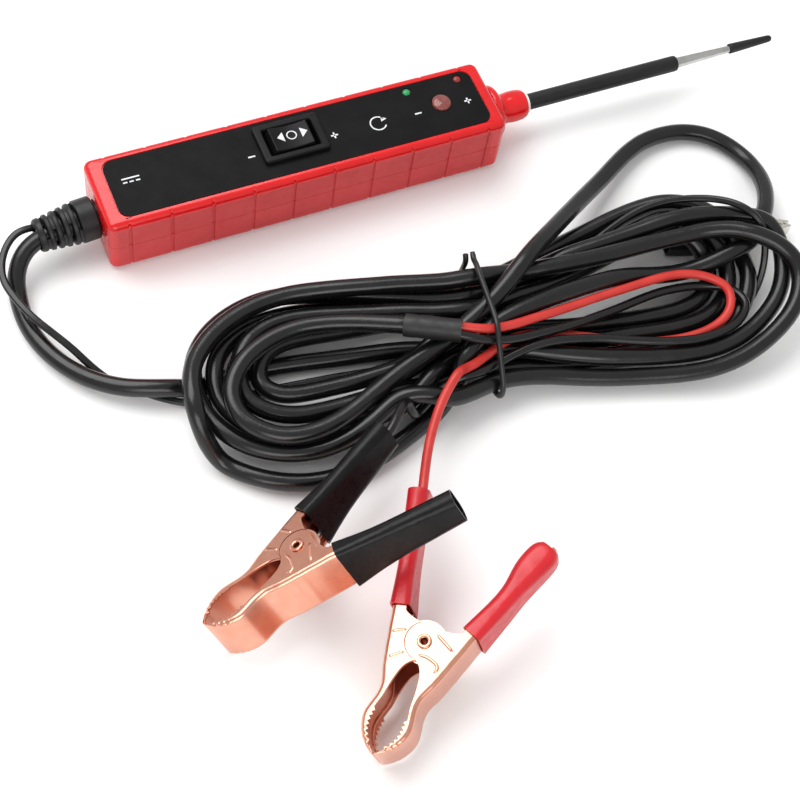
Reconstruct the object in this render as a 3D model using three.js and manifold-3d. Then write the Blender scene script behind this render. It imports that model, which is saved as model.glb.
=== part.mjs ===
// Powered circuit probe: a red handset with a rocker switch, lamps and a needle probe, a long
// two-core supply cable coiled and tied, two copper battery clips and a small ground clip.
// Millimetres, +Z up. The origin is the centre of the handset's underside on the bench;
// +X runs along the handset towards the needle.
import * as THREE from 'three';
import { mergeVertices } from 'three/addons/utils/BufferGeometryUtils.js';
import Module from 'manifold-3d';

const wasm = await Module();
wasm.setup();

// ---- driving dimensions -------------------------------------------------------------------

const CASE = { length: 150, width: 31, height: 25, wall: 2.2, corner: 3, edge: 2.4, part: 12.5, seam: 0.2 };
const GROOVE = { count: 10, pitch: 15, width: 1, depth: 0.45 };
const LABEL = { x: 0.5, y: 0, length: 140, width: 24.7, corner: 4, recess: 0.5, thick: 0.4 };
const SWITCH = {
  x: -3, y: 1.4, bezelX: 24.4, bezelY: 16.5, openX: 18.4, openY: 11.4, bodyX: 21.6, bodyY: 14,
  bezelTop: 27,
};
const ROCKER = { pivotZ: 24, topHalf: 7.1, half: 8.3, width: 10.2, top: 4, pinRadius: 1 };
const LENS = { x: 55.2, y: 0.7, radius: 3.5 };
const GREEN_LED = { x: 44.9, y: 9.2, radius: 1.5 };
const RED_LED = { x: 65.1, y: 9.3, radius: 1.5 };
const SCREW = { x: 70.2, y: 10.4, boss: 2.4, shank: 1.1, head: 2.1 };
const BOARD = { x0: 20, x1: 66, width: 24, z: 15.6, thick: 1.6 };
const BREAKER = { x: 33, length: 12, width: 8, z0: 8, z1: 15.3 };
const PROBE = {
  z: 12.5, flange: 10, collar: 5.4, sleeve: 3.05, rod: 2.15, rodEnd: 1.35, sleeveEnd: 156,
  capStart: 180, tip: 199,
};
const RELIEF = { base: 7.7, end: 5.8, length: 22, tilt: 5, cableOffset: -1.3, wireOffset: 3.5 };
const CABLE_RADIUS = 3.1;
const LEAD_RADIUS = 1.6;
const WIRE_RADIUS = 1.3;
const SHRINK_RADIUS = 3.9;
const TIE = { x: 36, y: -84, slant: 0.15, radius: 1 };
const CLIP = {
  width: 16, sheet: 1, rivet: 1.5, ear: 6.2, sleeveTall: 17.8, sleeveDeep: 6.6, sleeveWall: 0.6,
  gap: 0.3,
};
const TOOTH = { start: 24, count: 7, pitch: 1.5, height: 0.9 };
const GROUND_CLIP = { tall: 6.4, sheet: 0.7, bootWide: 16.6, bootTall: 9.2, bootBack: -28, bootFront: 4 };

const RED = { color: 0xd8232a, roughness: 0.45, metalness: 0 };
const BLACK = { color: 0x161718, roughness: 0.5, metalness: 0 };
const PVC = { color: 0x1b1c1e, roughness: 0.42, metalness: 0 };
const COPPER = { color: 0xd9946f, roughness: 0.3, metalness: 1 };
const STEEL = { color: 0xc9c9c6, roughness: 0.28, metalness: 1 };

// ---- building blocks ----------------------------------------------------------------------

const group = new THREE.Group();

function solid(geometry) {
  const bare = geometry.index ? geometry.toNonIndexed() : geometry.clone();
  bare.deleteAttribute('normal');
  bare.deleteAttribute('uv');
  const merged = mergeVertices(bare, 1e-4);
  return new wasm.Manifold(new wasm.Mesh({
    numProp: 3,
    vertProperties: new Float32Array(merged.attributes.position.array),
    triVerts: new Uint32Array(merged.index.array),
  }));
}

function geometryOf(manifold) {
  const mesh = manifold.getMesh();
  const geometry = new THREE.BufferGeometry();
  geometry.setAttribute('position', new THREE.BufferAttribute(new Float32Array(mesh.vertProperties), 3));
  geometry.setIndex(new THREE.BufferAttribute(new Uint32Array(mesh.triVerts), 1));
  return geometry;
}

function add(name, shape, finish, parent = group) {
  const geometry = shape instanceof THREE.BufferGeometry ? shape : geometryOf(shape);
  const mesh = new THREE.Mesh(geometry, new THREE.MeshStandardMaterial(finish));
  mesh.name = name;
  parent.add(mesh);
  return mesh;
}

function box(x0, x1, y0, y1, z0, z1) {
  const geometry = new THREE.BoxGeometry(x1 - x0, y1 - y0, z1 - z0);
  return solid(geometry.translate((x0 + x1) / 2, (y0 + y1) / 2, (z0 + z1) / 2));
}

function post(x, y, z0, z1, radius, sides = 14) {
  const geometry = new THREE.CylinderGeometry(radius, radius, z1 - z0, sides);
  return solid(geometry.rotateX(Math.PI / 2).translate(x, y, (z0 + z1) / 2));
}

// A bar along X with its axis at height z.
function bar(x0, x1, y, z, radius, sides = 18) {
  const geometry = new THREE.CylinderGeometry(radius, radius, x1 - x0, sides);
  return solid(geometry.rotateZ(-Math.PI / 2).translate((x0 + x1) / 2, y, z));
}

function roundedRectangle(length, width, radius) {
  const x = length / 2, y = width / 2, quarter = Math.PI / 2;
  const shape = new THREE.Shape();
  shape.absarc(x - radius, y - radius, radius, 0, quarter);
  shape.absarc(-x + radius, y - radius, radius, quarter, 2 * quarter);
  shape.absarc(-x + radius, -y + radius, radius, 2 * quarter, 3 * quarter);
  shape.absarc(x - radius, -y + radius, radius, 3 * quarter, 4 * quarter);
  return shape;
}

function slab(length, width, radius, z0, z1, x = 0, y = 0, segments = 3) {
  const shape = roundedRectangle(length, width, radius);
  const geometry = new THREE.ExtrudeGeometry(
    shape, { depth: z1 - z0, bevelEnabled: false, curveSegments: segments },
  );
  return solid(geometry.translate(x, y, z0));
}

// A block with rounded upright corners and rounded top and bottom rims.
function softBlock(length, width, z0, z1, corner, edge) {
  const geometry = new THREE.ExtrudeGeometry(roundedRectangle(length, width, corner), {
    depth: z1 - z0 - 2 * edge, curveSegments: 3,
    bevelEnabled: true, bevelThickness: edge, bevelSize: edge, bevelOffset: -edge, bevelSegments: 2,
  });
  return solid(geometry.translate(0, 0, z0 + edge));
}

// A flat plate from [x, y] corners, between two heights.
function plate(points, z0, z1) {
  const shape = new THREE.Shape(points.map(([x, y]) => new THREE.Vector2(x, y)));
  const geometry = new THREE.ExtrudeGeometry(shape, { depth: z1 - z0, bevelEnabled: false });
  return solid(geometry.translate(0, 0, z0));
}

// A turned piece: [radius, distance] pairs along its axis, laid along +X.
function turned(profile, sides = 18) {
  const points = profile.map(([r, x]) => new THREE.Vector2(r, x));
  return solid(new THREE.LatheGeometry(points, sides).rotateZ(-Math.PI / 2));
}

function circle(radius, sides) {
  const shape = new THREE.Shape();
  for (let i = 0; i < sides; i += 1) {
    const a = (2 * Math.PI * i) / sides;
    if (i === 0) shape.moveTo(radius, 0);
    else shape.lineTo(radius * Math.cos(a), radius * Math.sin(a));
  }
  return shape;
}

// A curve that passes through evenly laid points and is sampled exactly at them.
class LaidCurve extends THREE.CatmullRomCurve3 {
  getPointAt(u, target) { return this.getPoint(u, target); }
  getTangentAt(u, target) { return this.getTangent(u, target); }
}

function tube(points, radius, sides = 8, bore = 0) {
  const shape = circle(radius, sides);
  if (bore) shape.holes.push(new THREE.Path(circle(bore, sides).getPoints().reverse()));
  const path = new LaidCurve(points);
  return new THREE.ExtrudeGeometry(
    shape, { steps: points.length - 1, extrudePath: path, bevelEnabled: false },
  );
}

function smoothPath(points, step) {
  const curve = new THREE.CatmullRomCurve3(
    points.map((p) => new THREE.Vector3(...p)), false, 'centripetal',
  );
  curve.arcLengthDivisions = 60 * points.length;
  return curve.getSpacedPoints(Math.max(2, Math.round(curve.getLength() / step)));
}

// ---- handset case -------------------------------------------------------------------------

const half = CASE.length / 2;
const screwPlaces = [[1, 1], [1, -1], [-1, 1], [-1, -1]].map(([i, j]) => [i * SCREW.x, j * SCREW.y]);

function caseBlock() {
  let block = softBlock(CASE.length, CASE.width, 0, CASE.height, CASE.corner, CASE.edge);
  for (let i = 0; i < GROOVE.count; i += 1) {
    const x = (i - (GROOVE.count - 1) / 2) * GROOVE.pitch;
    for (const side of [-1, 1]) {
      const y = side * CASE.width / 2;
      const slot = box(
        x - GROOVE.width / 2, x + GROOVE.width / 2, y - GROOVE.depth, y + GROOVE.depth, CASE.edge,
        CASE.height - CASE.edge,
      );
      block = block.subtract(slot);
    }
  }
  return block;
}

function caseHollow() {
  const inset = 2 * CASE.wall;
  return softBlock(CASE.length - inset, CASE.width - inset, CASE.wall, CASE.height - CASE.wall, 1.5, 0.6);
}

function endOpenings() {
  const front = bar(half - 5, half + 5, 0, PROBE.z, 6.4);
  const rear = bar(-half - 5, -half + 5, 0.1, PROBE.z, 6.1);
  return front.add(rear);
}

function upperShell() {
  const low = CASE.part + CASE.seam / 2;
  let shell = caseBlock().subtract(caseHollow());
  shell = shell.intersect(box(-half - 1, half + 1, -20, 20, low, CASE.height + 1));
  for (const [x, y] of screwPlaces) {
    shell = shell.add(post(x, y, low, CASE.height - CASE.wall + 0.3, SCREW.boss));
    shell = shell.subtract(post(x, y, low - 1, low + 8, SCREW.shank + 0.15, 12));
  }
  const recessZ = CASE.height - LABEL.recess;
  shell = shell.subtract(slab(
    LABEL.length, LABEL.width, LABEL.corner, recessZ, CASE.height + 1, LABEL.x, LABEL.y,
  ));
  shell = shell.subtract(slab(SWITCH.bodyX + 0.4, SWITCH.bodyY + 0.4, 0.8, 20, 30, SWITCH.x, SWITCH.y, 2));
  for (const lamp of [LENS, GREEN_LED, RED_LED]) {
    shell = shell.subtract(post(lamp.x, lamp.y, 20, 30, lamp.radius + 0.2));
  }
  return shell.subtract(endOpenings());
}

function lowerShell() {
  const high = CASE.part - CASE.seam / 2;
  let shell = caseBlock().subtract(caseHollow());
  shell = shell.intersect(box(-half - 1, half + 1, -20, 20, -1, high));
  // The locating lip stands inside the upper shell's wall.
  const lipOuter = slab(
    CASE.length - 2 * CASE.wall + 0.4, CASE.width - 2 * CASE.wall + 0.4, 1.5, high - 3, high,
  );
  const lipStand = slab(
    CASE.length - 2 * CASE.wall - 0.4, CASE.width - 2 * CASE.wall - 0.4, 1.5, high - 3, high + 2,
  );
  const lipInner = slab(
    CASE.length - 2 * CASE.wall - 2.4, CASE.width - 2 * CASE.wall - 2.4, 0.8, high - 4, high + 3,
  );
  const reach = SCREW.x - 6;
  shell = shell.add(lipOuter.add(lipStand).subtract(lipInner).intersect(box(
    -reach, reach, -20, 20, 0, 20,
  )));
  for (const [x, y] of screwPlaces) {
    shell = shell.add(post(x, y, 1, high, SCREW.boss + 0.8));
    shell = shell.subtract(post(x, y, -1, 2.2, SCREW.head + 0.3, 16));
    shell = shell.subtract(post(x, y, -1, high + 1, SCREW.shank + 0.2, 12));
  }
  for (const x of [BOARD.x0 + 4, BOARD.x1 - 8]) {
    for (const side of [-1, 1]) shell = shell.add(post(x, side * 9, 1, BOARD.z - 0.1, 1.8, 12));
  }
  return shell.subtract(endOpenings());
}

function housingScrews() {
  screwPlaces.forEach(([x, y], i) => {
    let screw = post(x, y, 0.4, 1.9, SCREW.head, 16).add(post(x, y, 1.5, 19, SCREW.shank, 12));
    screw = screw.subtract(box(x - 1.4, x + 1.4, y - 0.25, y + 0.25, -1, 1));
    screw = screw.subtract(box(x - 0.25, x + 0.25, y - 1.4, y + 1.4, -1, 1));
    add(`housing_screw_${i + 1}`, screw, STEEL);
  });
}

function faceLabel() {
  const z = CASE.height - LABEL.recess;
  let label = slab(
    LABEL.length - 0.3, LABEL.width - 0.3, LABEL.corner - 0.15, z, z + LABEL.thick, LABEL.x,
    LABEL.y,
  );
  label = label.subtract(slab(
    SWITCH.bodyX + 0.4, SWITCH.bodyY + 0.4, 0.8, z - 1, z + 1, SWITCH.x, SWITCH.y, 2,
  ));
  for (const lamp of [LENS, GREEN_LED, RED_LED]) {
    label = label.subtract(post(lamp.x, lamp.y, z - 1, z + 1, lamp.radius + 0.2));
  }
  return label;
}

// ---- rocker switch ------------------------------------------------------------------------

function switchBody() {
  const { x, y } = SWITCH;
  const seat = CASE.height - LABEL.recess + LABEL.thick + 0.02;
  const bezel = new THREE.ExtrudeGeometry(roundedRectangle(SWITCH.bezelX, SWITCH.bezelY, 1), {
    depth: SWITCH.bezelTop - seat - 0.6, curveSegments: 3,
    bevelEnabled: true, bevelThickness: 0.6, bevelSize: 0.6, bevelOffset: -0.6, bevelSegments: 2,
  });
  let body = solid(bezel.translate(x, y, seat)).intersect(box(x - 20, x + 20, y - 20, y + 20, seat, 30));
  body = body.add(slab(SWITCH.bodyX, SWITCH.bodyY, 0.6, 10.5, seat + 0.5, x, y, 2));
  body = body.subtract(slab(SWITCH.openX, SWITCH.openY, 0.5, 16, 30, x, y, 2));
  const hole = new THREE.CylinderGeometry(ROCKER.pinRadius + 0.05, ROCKER.pinRadius + 0.05, 13.2, 12);
  body = body.subtract(solid(hole.translate(x, y, ROCKER.pivotZ)));
  for (const i of [-1, 0, 1]) {
    body = body.subtract(box(x + 6 * i - 0.6, x + 6 * i + 0.6, y - 2.6, y + 2.6, 9, 15));
  }
  return body;
}

function rockerButton() {
  const { half: wide, topHalf, top, width } = ROCKER;
  const shape = new THREE.Shape();
  shape.moveTo(-wide, -2);
  shape.lineTo(-wide, 0.5);
  shape.lineTo(-topHalf, top);
  shape.quadraticCurveTo(0, top - 1.4, topHalf, top);
  shape.lineTo(wide, 0.5);
  shape.lineTo(wide, -2);
  shape.quadraticCurveTo(0, -9, -wide, -2);
  const geometry = new THREE.ExtrudeGeometry(
    shape, { depth: width, bevelEnabled: false, curveSegments: 8 },
  );
  geometry.translate(0, 0, -width / 2).rotateX(Math.PI / 2).translate(SWITCH.x, SWITCH.y, ROCKER.pivotZ);
  const bore = new THREE.CylinderGeometry(ROCKER.pinRadius + 0.06, ROCKER.pinRadius + 0.06, 14, 12);
  return solid(geometry).subtract(solid(bore.translate(SWITCH.x, SWITCH.y, ROCKER.pivotZ)));
}

function rockerPin() {
  const pin = new THREE.CylinderGeometry(ROCKER.pinRadius, ROCKER.pinRadius, 13, 12);
  return solid(pin.translate(SWITCH.x, SWITCH.y, ROCKER.pivotZ));
}

function switchTerminals() {
  ['left', 'middle', 'right'].forEach((place, i) => {
    const x = SWITCH.x + 6 * (i - 1);
    const blade = box(x - 0.4, x + 0.4, SWITCH.y - 2.4, SWITCH.y + 2.4, 6, 14.6);
    add(`switch_terminal_${place}`, blade, { color: 0xc9a45a, roughness: 0.35, metalness: 1 });
  });
}

// ---- lamps and electronics ----------------------------------------------------------------

function dome(x, y, radius, z0, z1, crown, sides = 20) {
  const profile = [[0, z0], [radius, z0], [radius, z1]];
  for (let i = 1; i <= 4; i += 1) {
    const a = (Math.PI / 2) * (i / 4);
    profile.push([i === 4 ? 0 : radius * Math.cos(a), z1 + crown * Math.sin(a)]);
  }
  const points = profile.map(([r, z]) => new THREE.Vector2(r, z));
  return solid(new THREE.LatheGeometry(points, sides).rotateX(Math.PI / 2)).translate([x, y, 0]);
}

const LEDS = [
  { name: 'green_led', lamp: GREEN_LED, color: 0x2f8f4f },
  { name: 'red_led', lamp: RED_LED, color: 0xa83030 },
];

function lamps() {
  const boardTop = BOARD.z + BOARD.thick;
  const lens = dome(LENS.x, LENS.y, LENS.radius, 22.9, 25.2, 1.2).subtract(post(
    LENS.x, LENS.y, 22, 24.6, 2.7,
  ));
  add('lamp_lens', lens, { color: 0x7a4a48, roughness: 0.2, metalness: 0 });
  add(
    'lamp_bulb', dome(LENS.x, LENS.y, 2.4, boardTop + 0.05, 22.2, 1.9),
    { color: 0xe9dccb, roughness: 0.2, metalness: 0 },
  );
  for (const { name, lamp, color } of LEDS) {
    const leg = (dx) => post(lamp.x + dx, lamp.y, boardTop + 0.05, 22, 0.3, 8);
    const led = dome(lamp.x, lamp.y, lamp.radius, 21, 24.4, 1).add(leg(-0.7)).add(leg(0.7));
    add(name, led, { color, roughness: 0.25, metalness: 0 });
  }
}

function circuitBoard() {
  let board = box(BOARD.x0, BOARD.x1, -BOARD.width / 2, BOARD.width / 2, BOARD.z, BOARD.z + BOARD.thick);
  for (const side of [-1, 1]) board = board.subtract(post(BOARD.x0 + 4, side * 9, 14, 19, 1, 12));
  return board;
}

function thermalBreaker() {
  const { x, length, width, z0, z1 } = BREAKER;
  const can = slab(length, width, 1, z0, z1, x, 0, 3);
  return can.add(box(x - 2, x + 2, -width / 2 - 2.4, width / 2 + 2.4, z0 + 3, z0 + 3.6));
}

function insideWires() {
  const wire = (name, points, finish) => add(name, tube(smoothPath(points, 4), 0.8, 6), finish);
  wire('probe_wire', [[65.4, 0, 12.5], [60, -2.5, 11], [52, -5, 9], [44, -3, 9.5], [39.6, -1, 10.5]], RED);
  const y = SWITCH.y;
  wire('supply_core_red', [[-66, 1, 12.6], [-58, 3, 10], [-40, 6, 7], [-22, 4, 6.6], [-10.4, y, 8]], RED);
  wire(
    'supply_core_black',
    [[-66, -1.4, 12.6], [-58, -5, 10], [-36, -7, 5.4], [-12, -6, 4.6], [-2, -6, 5], [3, y - 3.5, 9]],
    BLACK,
  );
}

// ---- needle probe -------------------------------------------------------------------------

function probeGland() {
  const x = half;
  const profile = [
    [PROBE.sleeve + 0.2, x - 5], [6, x - 5], [6, x + 0.15], [PROBE.flange - 1.6, x + 0.15], [
      PROBE.flange, x + 1.6,
    ],
    [PROBE.flange - 0.6, x + 3.4], [PROBE.flange - 2.6, x + 4.6], [PROBE.collar + 0.6, x + 5.6],
    [PROBE.collar, x + 8], [PROBE.collar, x + 14], [PROBE.collar - 0.5, x + 17.5], [
      PROBE.collar - 1.6, x + 19,
    ],
    [PROBE.sleeve + 1.3, x + 19.2], [PROBE.sleeve + 1.3, x + 15], [PROBE.sleeve + 0.2, x + 15], [
      PROBE.sleeve + 0.2, x - 5,
    ],
  ];
  return turned(profile, 20).translate([0, 0, PROBE.z]);
}

function probeLiner() {
  const x = half, outer = PROBE.sleeve + 1.15, inner = PROBE.sleeve + 0.15;
  const profile = [
    [inner, x + 15.1], [outer, x + 15.1], [outer, x + 19.6], [inner, x + 19.6], [inner, x + 15.1],
  ];
  return turned(profile).translate([0, 0, PROBE.z]);
}

function rodRadius(x) {
  const t = (x - PROBE.sleeveEnd) / (PROBE.capStart - PROBE.sleeveEnd);
  return PROBE.rod + (PROBE.rodEnd - PROBE.rod) * Math.max(0, t);
}

function probeRod() {
  const profile = [[0, 66], [PROBE.rod, 66], [PROBE.rod, PROBE.sleeveEnd], [PROBE.rodEnd, PROBE.capStart]];
  profile.push([1.1, 188], [0.35, 195.6], [0, 196]);
  return turned(profile, 14).translate([0, 0, PROBE.z]);
}

function probeSleeve() {
  const bore = PROBE.rod + 0.1, r = PROBE.sleeve;
  const profile = [[bore, half - 4.5], [r, half - 4.5], [r, PROBE.sleeveEnd - 0.4]];
  profile.push([r - 0.35, PROBE.sleeveEnd], [bore, PROBE.sleeveEnd], [bore, half - 4.5]);
  return turned(profile).translate([0, 0, PROBE.z]);
}

function tipCap() {
  const x = PROBE.capStart, gap = 0.2;
  const profile = [
    [rodRadius(x) + gap, x], [1.95, x], [1.85, x + 6], [1.6, x + 12], [1.4, PROBE.tip - 1],
    [0.9, PROBE.tip], [0, PROBE.tip],
  ];
  profile.push([0, 197], [0.6, 196.4], [1.25, 188], [rodRadius(x) + gap, x]);
  return turned(profile, 14).translate([0, 0, PROBE.z]);
}

// ---- strain relief ------------------------------------------------------------------------

const reliefFrame = new THREE.Matrix4()
  .makeTranslation(-half, 0.1, PROBE.z)
  .multiply(new THREE.Matrix4().makeRotationZ(THREE.MathUtils.degToRad(180 + RELIEF.tilt)));

// A point at a distance along the relief's axis, offset sideways towards the world's +Y.
function alongRelief(distance, side) {
  return new THREE.Vector3(distance, -side, 0).applyMatrix4(reliefFrame).toArray();
}

function strainRelief() {
  const { base, end, length } = RELIEF;
  const profile = [
    [0, -6], [6.6, -6], [6.6, -3.3], [5.4, -3.3], [5.4, 0.9], [base - 0.5, 0.9], [base, 1.5],
    [base, 7],
  ];
  const rings = 5, pitch = (length - 8) / rings;
  for (let i = 0; i < rings; i += 1) {
    const x = 8 + i * pitch;
    const r = base + ((end - base) * (i + 1)) / rings;
    profile.push([r - 1.1, x - 0.6], [r - 1.1, x + 0.4], [r, x + 0.6], [r, x + pitch - 0.9]);
  }
  profile.push([end - 0.6, length], [0, length]);
  const bore = (side, radius) => bar(-8, length + 2, -side, 0, radius, 12);
  const mouth = bar(length - 4, length + 2, -RELIEF.cableOffset, 0, CABLE_RADIUS + 1, 12);
  const body = turned(profile, 16).subtract(mouth)
    .subtract(bore(RELIEF.cableOffset, CABLE_RADIUS + 0.3))
    .subtract(bore(RELIEF.wireOffset, WIRE_RADIUS + 0.3));
  add('strain_relief', body, BLACK).applyMatrix4(reliefFrame);
}

// ---- battery clips ------------------------------------------------------------------------

// Each clip has its own frame: +X from the rivet to the nose, +Y across, +Z out of the top plate.
function clipFrame(position, forward, normal) {
  const z = new THREE.Vector3(...normal).normalize();
  const x = new THREE.Vector3(...forward);
  x.addScaledVector(z, -x.dot(z)).normalize();
  const y = new THREE.Vector3().crossVectors(z, x);
  return new THREE.Matrix4().makeBasis(x, y, z).setPosition(...position);
}

const blackClipFrame = clipFrame([-57.4, -146.4, 27.6], [-0.915, -0.272, -0.298], [-0.393, 0.442, 0.806]);
const redClipFrame = clipFrame([-31.6, -187.3, 23.3], [-0.718, -0.666, -0.203], [-0.287, 0.017, 0.958]);

// One half of a clip, on the +Y side: its handle's centreline runs back and outwards, and the
// handle's two sheets close towards each other by `pinch` each at its end.
const HANDLE = {
  x: -6.2, y: 11.6, angle: THREE.MathUtils.degToRad(162.4), length: 39, reach: 2.3, pinch: 3.2,
};

function handlePoint(along, inward) {
  const dx = Math.cos(HANDLE.angle), dy = Math.sin(HANDLE.angle);
  return [HANDLE.x + dx * along - dy * inward, HANDLE.y + dy * along + dx * inward];
}

const outerEdge = [
  handlePoint(-1, -HANDLE.reach), [2, 11.6], [11.8, 8.8], [16.8, 6.7],
  [20, 6.9], [25.4, 8], [29.5, 7.4], [33.6, 4.9], [36.6, 1.2],
];
const jawInside = [
  [37, 0.25], [35, 2.2], [33, 3.9], [30.5, 5.2], [27, 5.6], [23.5, 5.3],
  [20, 4.5], [15.5, 4.1], [12, 3.5], [9, 2.5], [7.2, 1.1], [6, 0.25],
];
const halfOutline = [...outerEdge, ...jawInside, [1, 0.25], [-4, 2.6], handlePoint(-1, HANDLE.reach)];
const handleEdge = [handlePoint(HANDLE.length, -HANDLE.reach), handlePoint(-1.2, -HANDLE.reach)];
const handleOutline = [
  ...handleEdge, handlePoint(-1.2, HANDLE.reach), handlePoint(HANDLE.length, HANDLE.reach),
];

// The sheet's thickness, laid on the inside of a line of points.
function strip(points, thick) {
  const inside = points.map(([x, y], i) => {
    const [ax, ay] = points[Math.max(0, i - 1)];
    const [bx, by] = points[Math.min(points.length - 1, i + 1)];
    const length = Math.hypot(bx - ax, by - ay);
    return [x + ((by - ay) / length) * thick, y - ((bx - ax) / length) * thick];
  });
  return [...points, ...inside.reverse()];
}

// The inner edge's distance from the clip's middle line at x.
function jawRim(x) {
  const i = jawInside.findIndex(([end]) => end <= x);
  const [x0, y0] = jawInside[i];
  const [x1, y1] = jawInside[i - 1];
  return y0 + ((y1 - y0) * (x - x0)) / (x1 - x0);
}

function jawTooth(i) {
  const x = TOOTH.start + TOOTH.pitch * i;
  const peak = x + TOOTH.pitch / 2;
  const end = x + TOOTH.pitch;
  const root = 0.8;
  return [
    [x, jawRim(x) + root], [x, jawRim(x)], [peak, jawRim(peak) - TOOTH.height],
    [end, jawRim(end)], [end, jawRim(end) + root],
  ];
}

// Moves both faces of a handle part towards the clip's middle plane, more and more towards its end.
function pinched(geometry) {
  const position = geometry.attributes.position, middle = -CLIP.width / 2;
  for (let i = 0; i < position.count; i += 1) {
    const dx = position.getX(i) - HANDLE.x, dy = position.getY(i) - HANDLE.y;
    const along = dx * Math.cos(HANDLE.angle) + dy * Math.sin(HANDLE.angle);
    const z = position.getZ(i);
    const shift = (HANDLE.pinch * Math.max(0, along)) / HANDLE.length;
    position.setZ(i, z - Math.sign(z - middle) * shift);
  }
  return solid(geometry);
}

function handlePlate(points, z0, z1) {
  const shape = new THREE.Shape(points.map(([x, y]) => new THREE.Vector2(x, y)));
  const geometry = new THREE.ExtrudeGeometry(shape, { depth: z1 - z0, bevelEnabled: false });
  return pinched(geometry.translate(0, 0, z0));
}

function clipHalf(moving) {
  const { width, sheet, gap, ear, rivet } = CLIP;
  const both = (make) => make(-sheet, 0).add(make(-width, -width + sheet));
  let channel = both((z0, z1) => plate(halfOutline, z0, z1)).add(plate(strip(outerEdge, sheet), -width, 0));
  channel = channel.add(both((z0, z1) => handlePlate(handleOutline, z0, z1)));
  channel = channel.add(handlePlate(strip(handleEdge, sheet), -width, 0));
  for (let i = 0; i < TOOTH.count; i += 1) {
    channel = channel.add(both((z0, z1) => plate(jawTooth(i), z0, z1)));
  }
  if (!moving) {
    // Round the rivet the fixed half's ears step inwards, under the moving half's ears.
    const deep = sheet + gap, rim = ear + gap, foot = ear + 2;
    channel = channel.subtract(both((z0, z1) => post(0, 0, z0 - 0.5, z1 + 0.5, rim, 24)));
    for (const [z0, z1, outside] of [
      [-deep - sheet, -deep, 0], [-width + deep, -width + deep + sheet, -width],
    ]) {
      const inner = post(0, 0, z0, z1, foot, 24).intersect(plate(halfOutline, z0, z1).add(post(
        0, 0, z0, z1, ear - 1, 24,
      )));
      const low = Math.min(z0, outside), high = Math.max(z1, outside);
      const step = post(0, 0, low, high, foot, 24).subtract(post(0, 0, low - 1, high + 1, rim, 24));
      channel = channel.add(inner).add(step.intersect(plate(halfOutline, low, high)));
    }
  } else {
    channel = channel.add(both((z0, z1) => post(0, 0, z0, z1, ear, 24)));
  }
  return channel.subtract(post(0, 0, -width - 1, 1, rivet + gap, 16));
}

// A flat sleeve with open ends, from one point along a direction in the clip's plane.
function flatSleeve(deep, tall, corner, wall, [x, y, z], angle, length) {
  const shape = roundedRectangle(deep, tall, corner);
  const inner = roundedRectangle(deep - 2 * wall, tall - 2 * wall, corner - wall / 2);
  shape.holes.push(new THREE.Path(inner.getPoints(2).reverse()));
  const geometry = new THREE.ExtrudeGeometry(
    shape, { depth: length, bevelEnabled: false, curveSegments: 2 },
  );
  const along = new THREE.Vector3(Math.cos(angle), Math.sin(angle), 0);
  const up = new THREE.Vector3(0, 0, 1);
  const across = new THREE.Vector3().crossVectors(up, along);
  return geometry.applyMatrix4(new THREE.Matrix4().makeBasis(across, up, along).setPosition(x, y, z));
}

function clipSleeve() {
  const { sleeveDeep, sleeveTall, sleeveWall, width } = CLIP;
  const start = [...handlePoint(1.6, 0), -width / 2];
  return pinched(flatSleeve(sleeveDeep, sleeveTall, 1.4, sleeveWall, start, HANDLE.angle, HANDLE.length));
}

function clipRivet() {
  const { width, rivet } = CLIP;
  const bore = rivet - 0.7, head = rivet + 0.85;
  const points = [[bore, -width - 1], [head, -width - 1], [head, -width - 0.3], [rivet, -width - 0.3]];
  points.push([rivet, 0.3], [head, 0.3], [head, 1], [bore, 1], [bore, -width - 1]);
  const profile = points.map(([r, y]) => new THREE.Vector2(r, y));
  return solid(new THREE.LatheGeometry(profile, 16).rotateX(Math.PI / 2));
}

// A coil round the rivet with a straight leg into each handle.
function torsionSpring(coil, wire, turns, leg, legAngle, middle) {
  const leave = legAngle - Math.PI / 2, sweep = 2 * leave + 2 * Math.PI * turns, steps = 12 * turns;
  const rise = 1.2 * wire * turns + 0.4 * wire;
  const point = (angle, out, along, z) => new THREE.Vector3(
    coil * Math.cos(angle) + along * Math.cos(out),
    coil * Math.sin(angle) + along * Math.sin(out),
    z,
  );
  const points = [
    point(-leave, -legAngle, leg, middle - rise / 2),
    point(-leave, -legAngle, leg / 2, middle - rise / 2),
  ];
  for (let i = 0; i <= steps; i += 1) {
    const angle = -leave + (sweep * i) / steps;
    points.push(point(angle, 0, 0, middle - rise / 2 + (rise * i) / steps));
  }
  points.push(
    point(leave, legAngle, leg / 2, middle + rise / 2),
    point(leave, legAngle, leg, middle + rise / 2),
  );
  return tube(points, wire / 2, 6);
}

function batteryClip(name, frame, sleeveFinish) {
  const clip = new THREE.Group();
  clip.applyMatrix4(frame);
  group.add(clip);
  const mirror = (shape) => shape.mirror([0, 1, 0]);
  add(`${name}_clip_fixed_jaw`, mirror(clipHalf(false)), COPPER, clip);
  add(`${name}_clip_moving_jaw`, clipHalf(true), COPPER, clip);
  add(`${name}_clip_fixed_sleeve`, mirror(clipSleeve()), sleeveFinish, clip);
  add(`${name}_clip_moving_sleeve`, clipSleeve(), sleeveFinish, clip);
  add(`${name}_clip_rivet`, clipRivet(), COPPER, clip);
  const legAngle = THREE.MathUtils.degToRad(148);
  add(`${name}_clip_spring`, torsionSpring(4.2, 1.2, 3, 21, legAngle, -CLIP.width / 2), STEEL, clip);
}

// ---- small ground clip --------------------------------------------------------------------

// It lies on its side under the coil: its pin is upright and its jaws open sideways.
const groundClipFrame = clipFrame([146, -73.6, GROUND_CLIP.tall + 1.4], [0.97, -0.242, 0], [0, 0, 1]);

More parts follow.
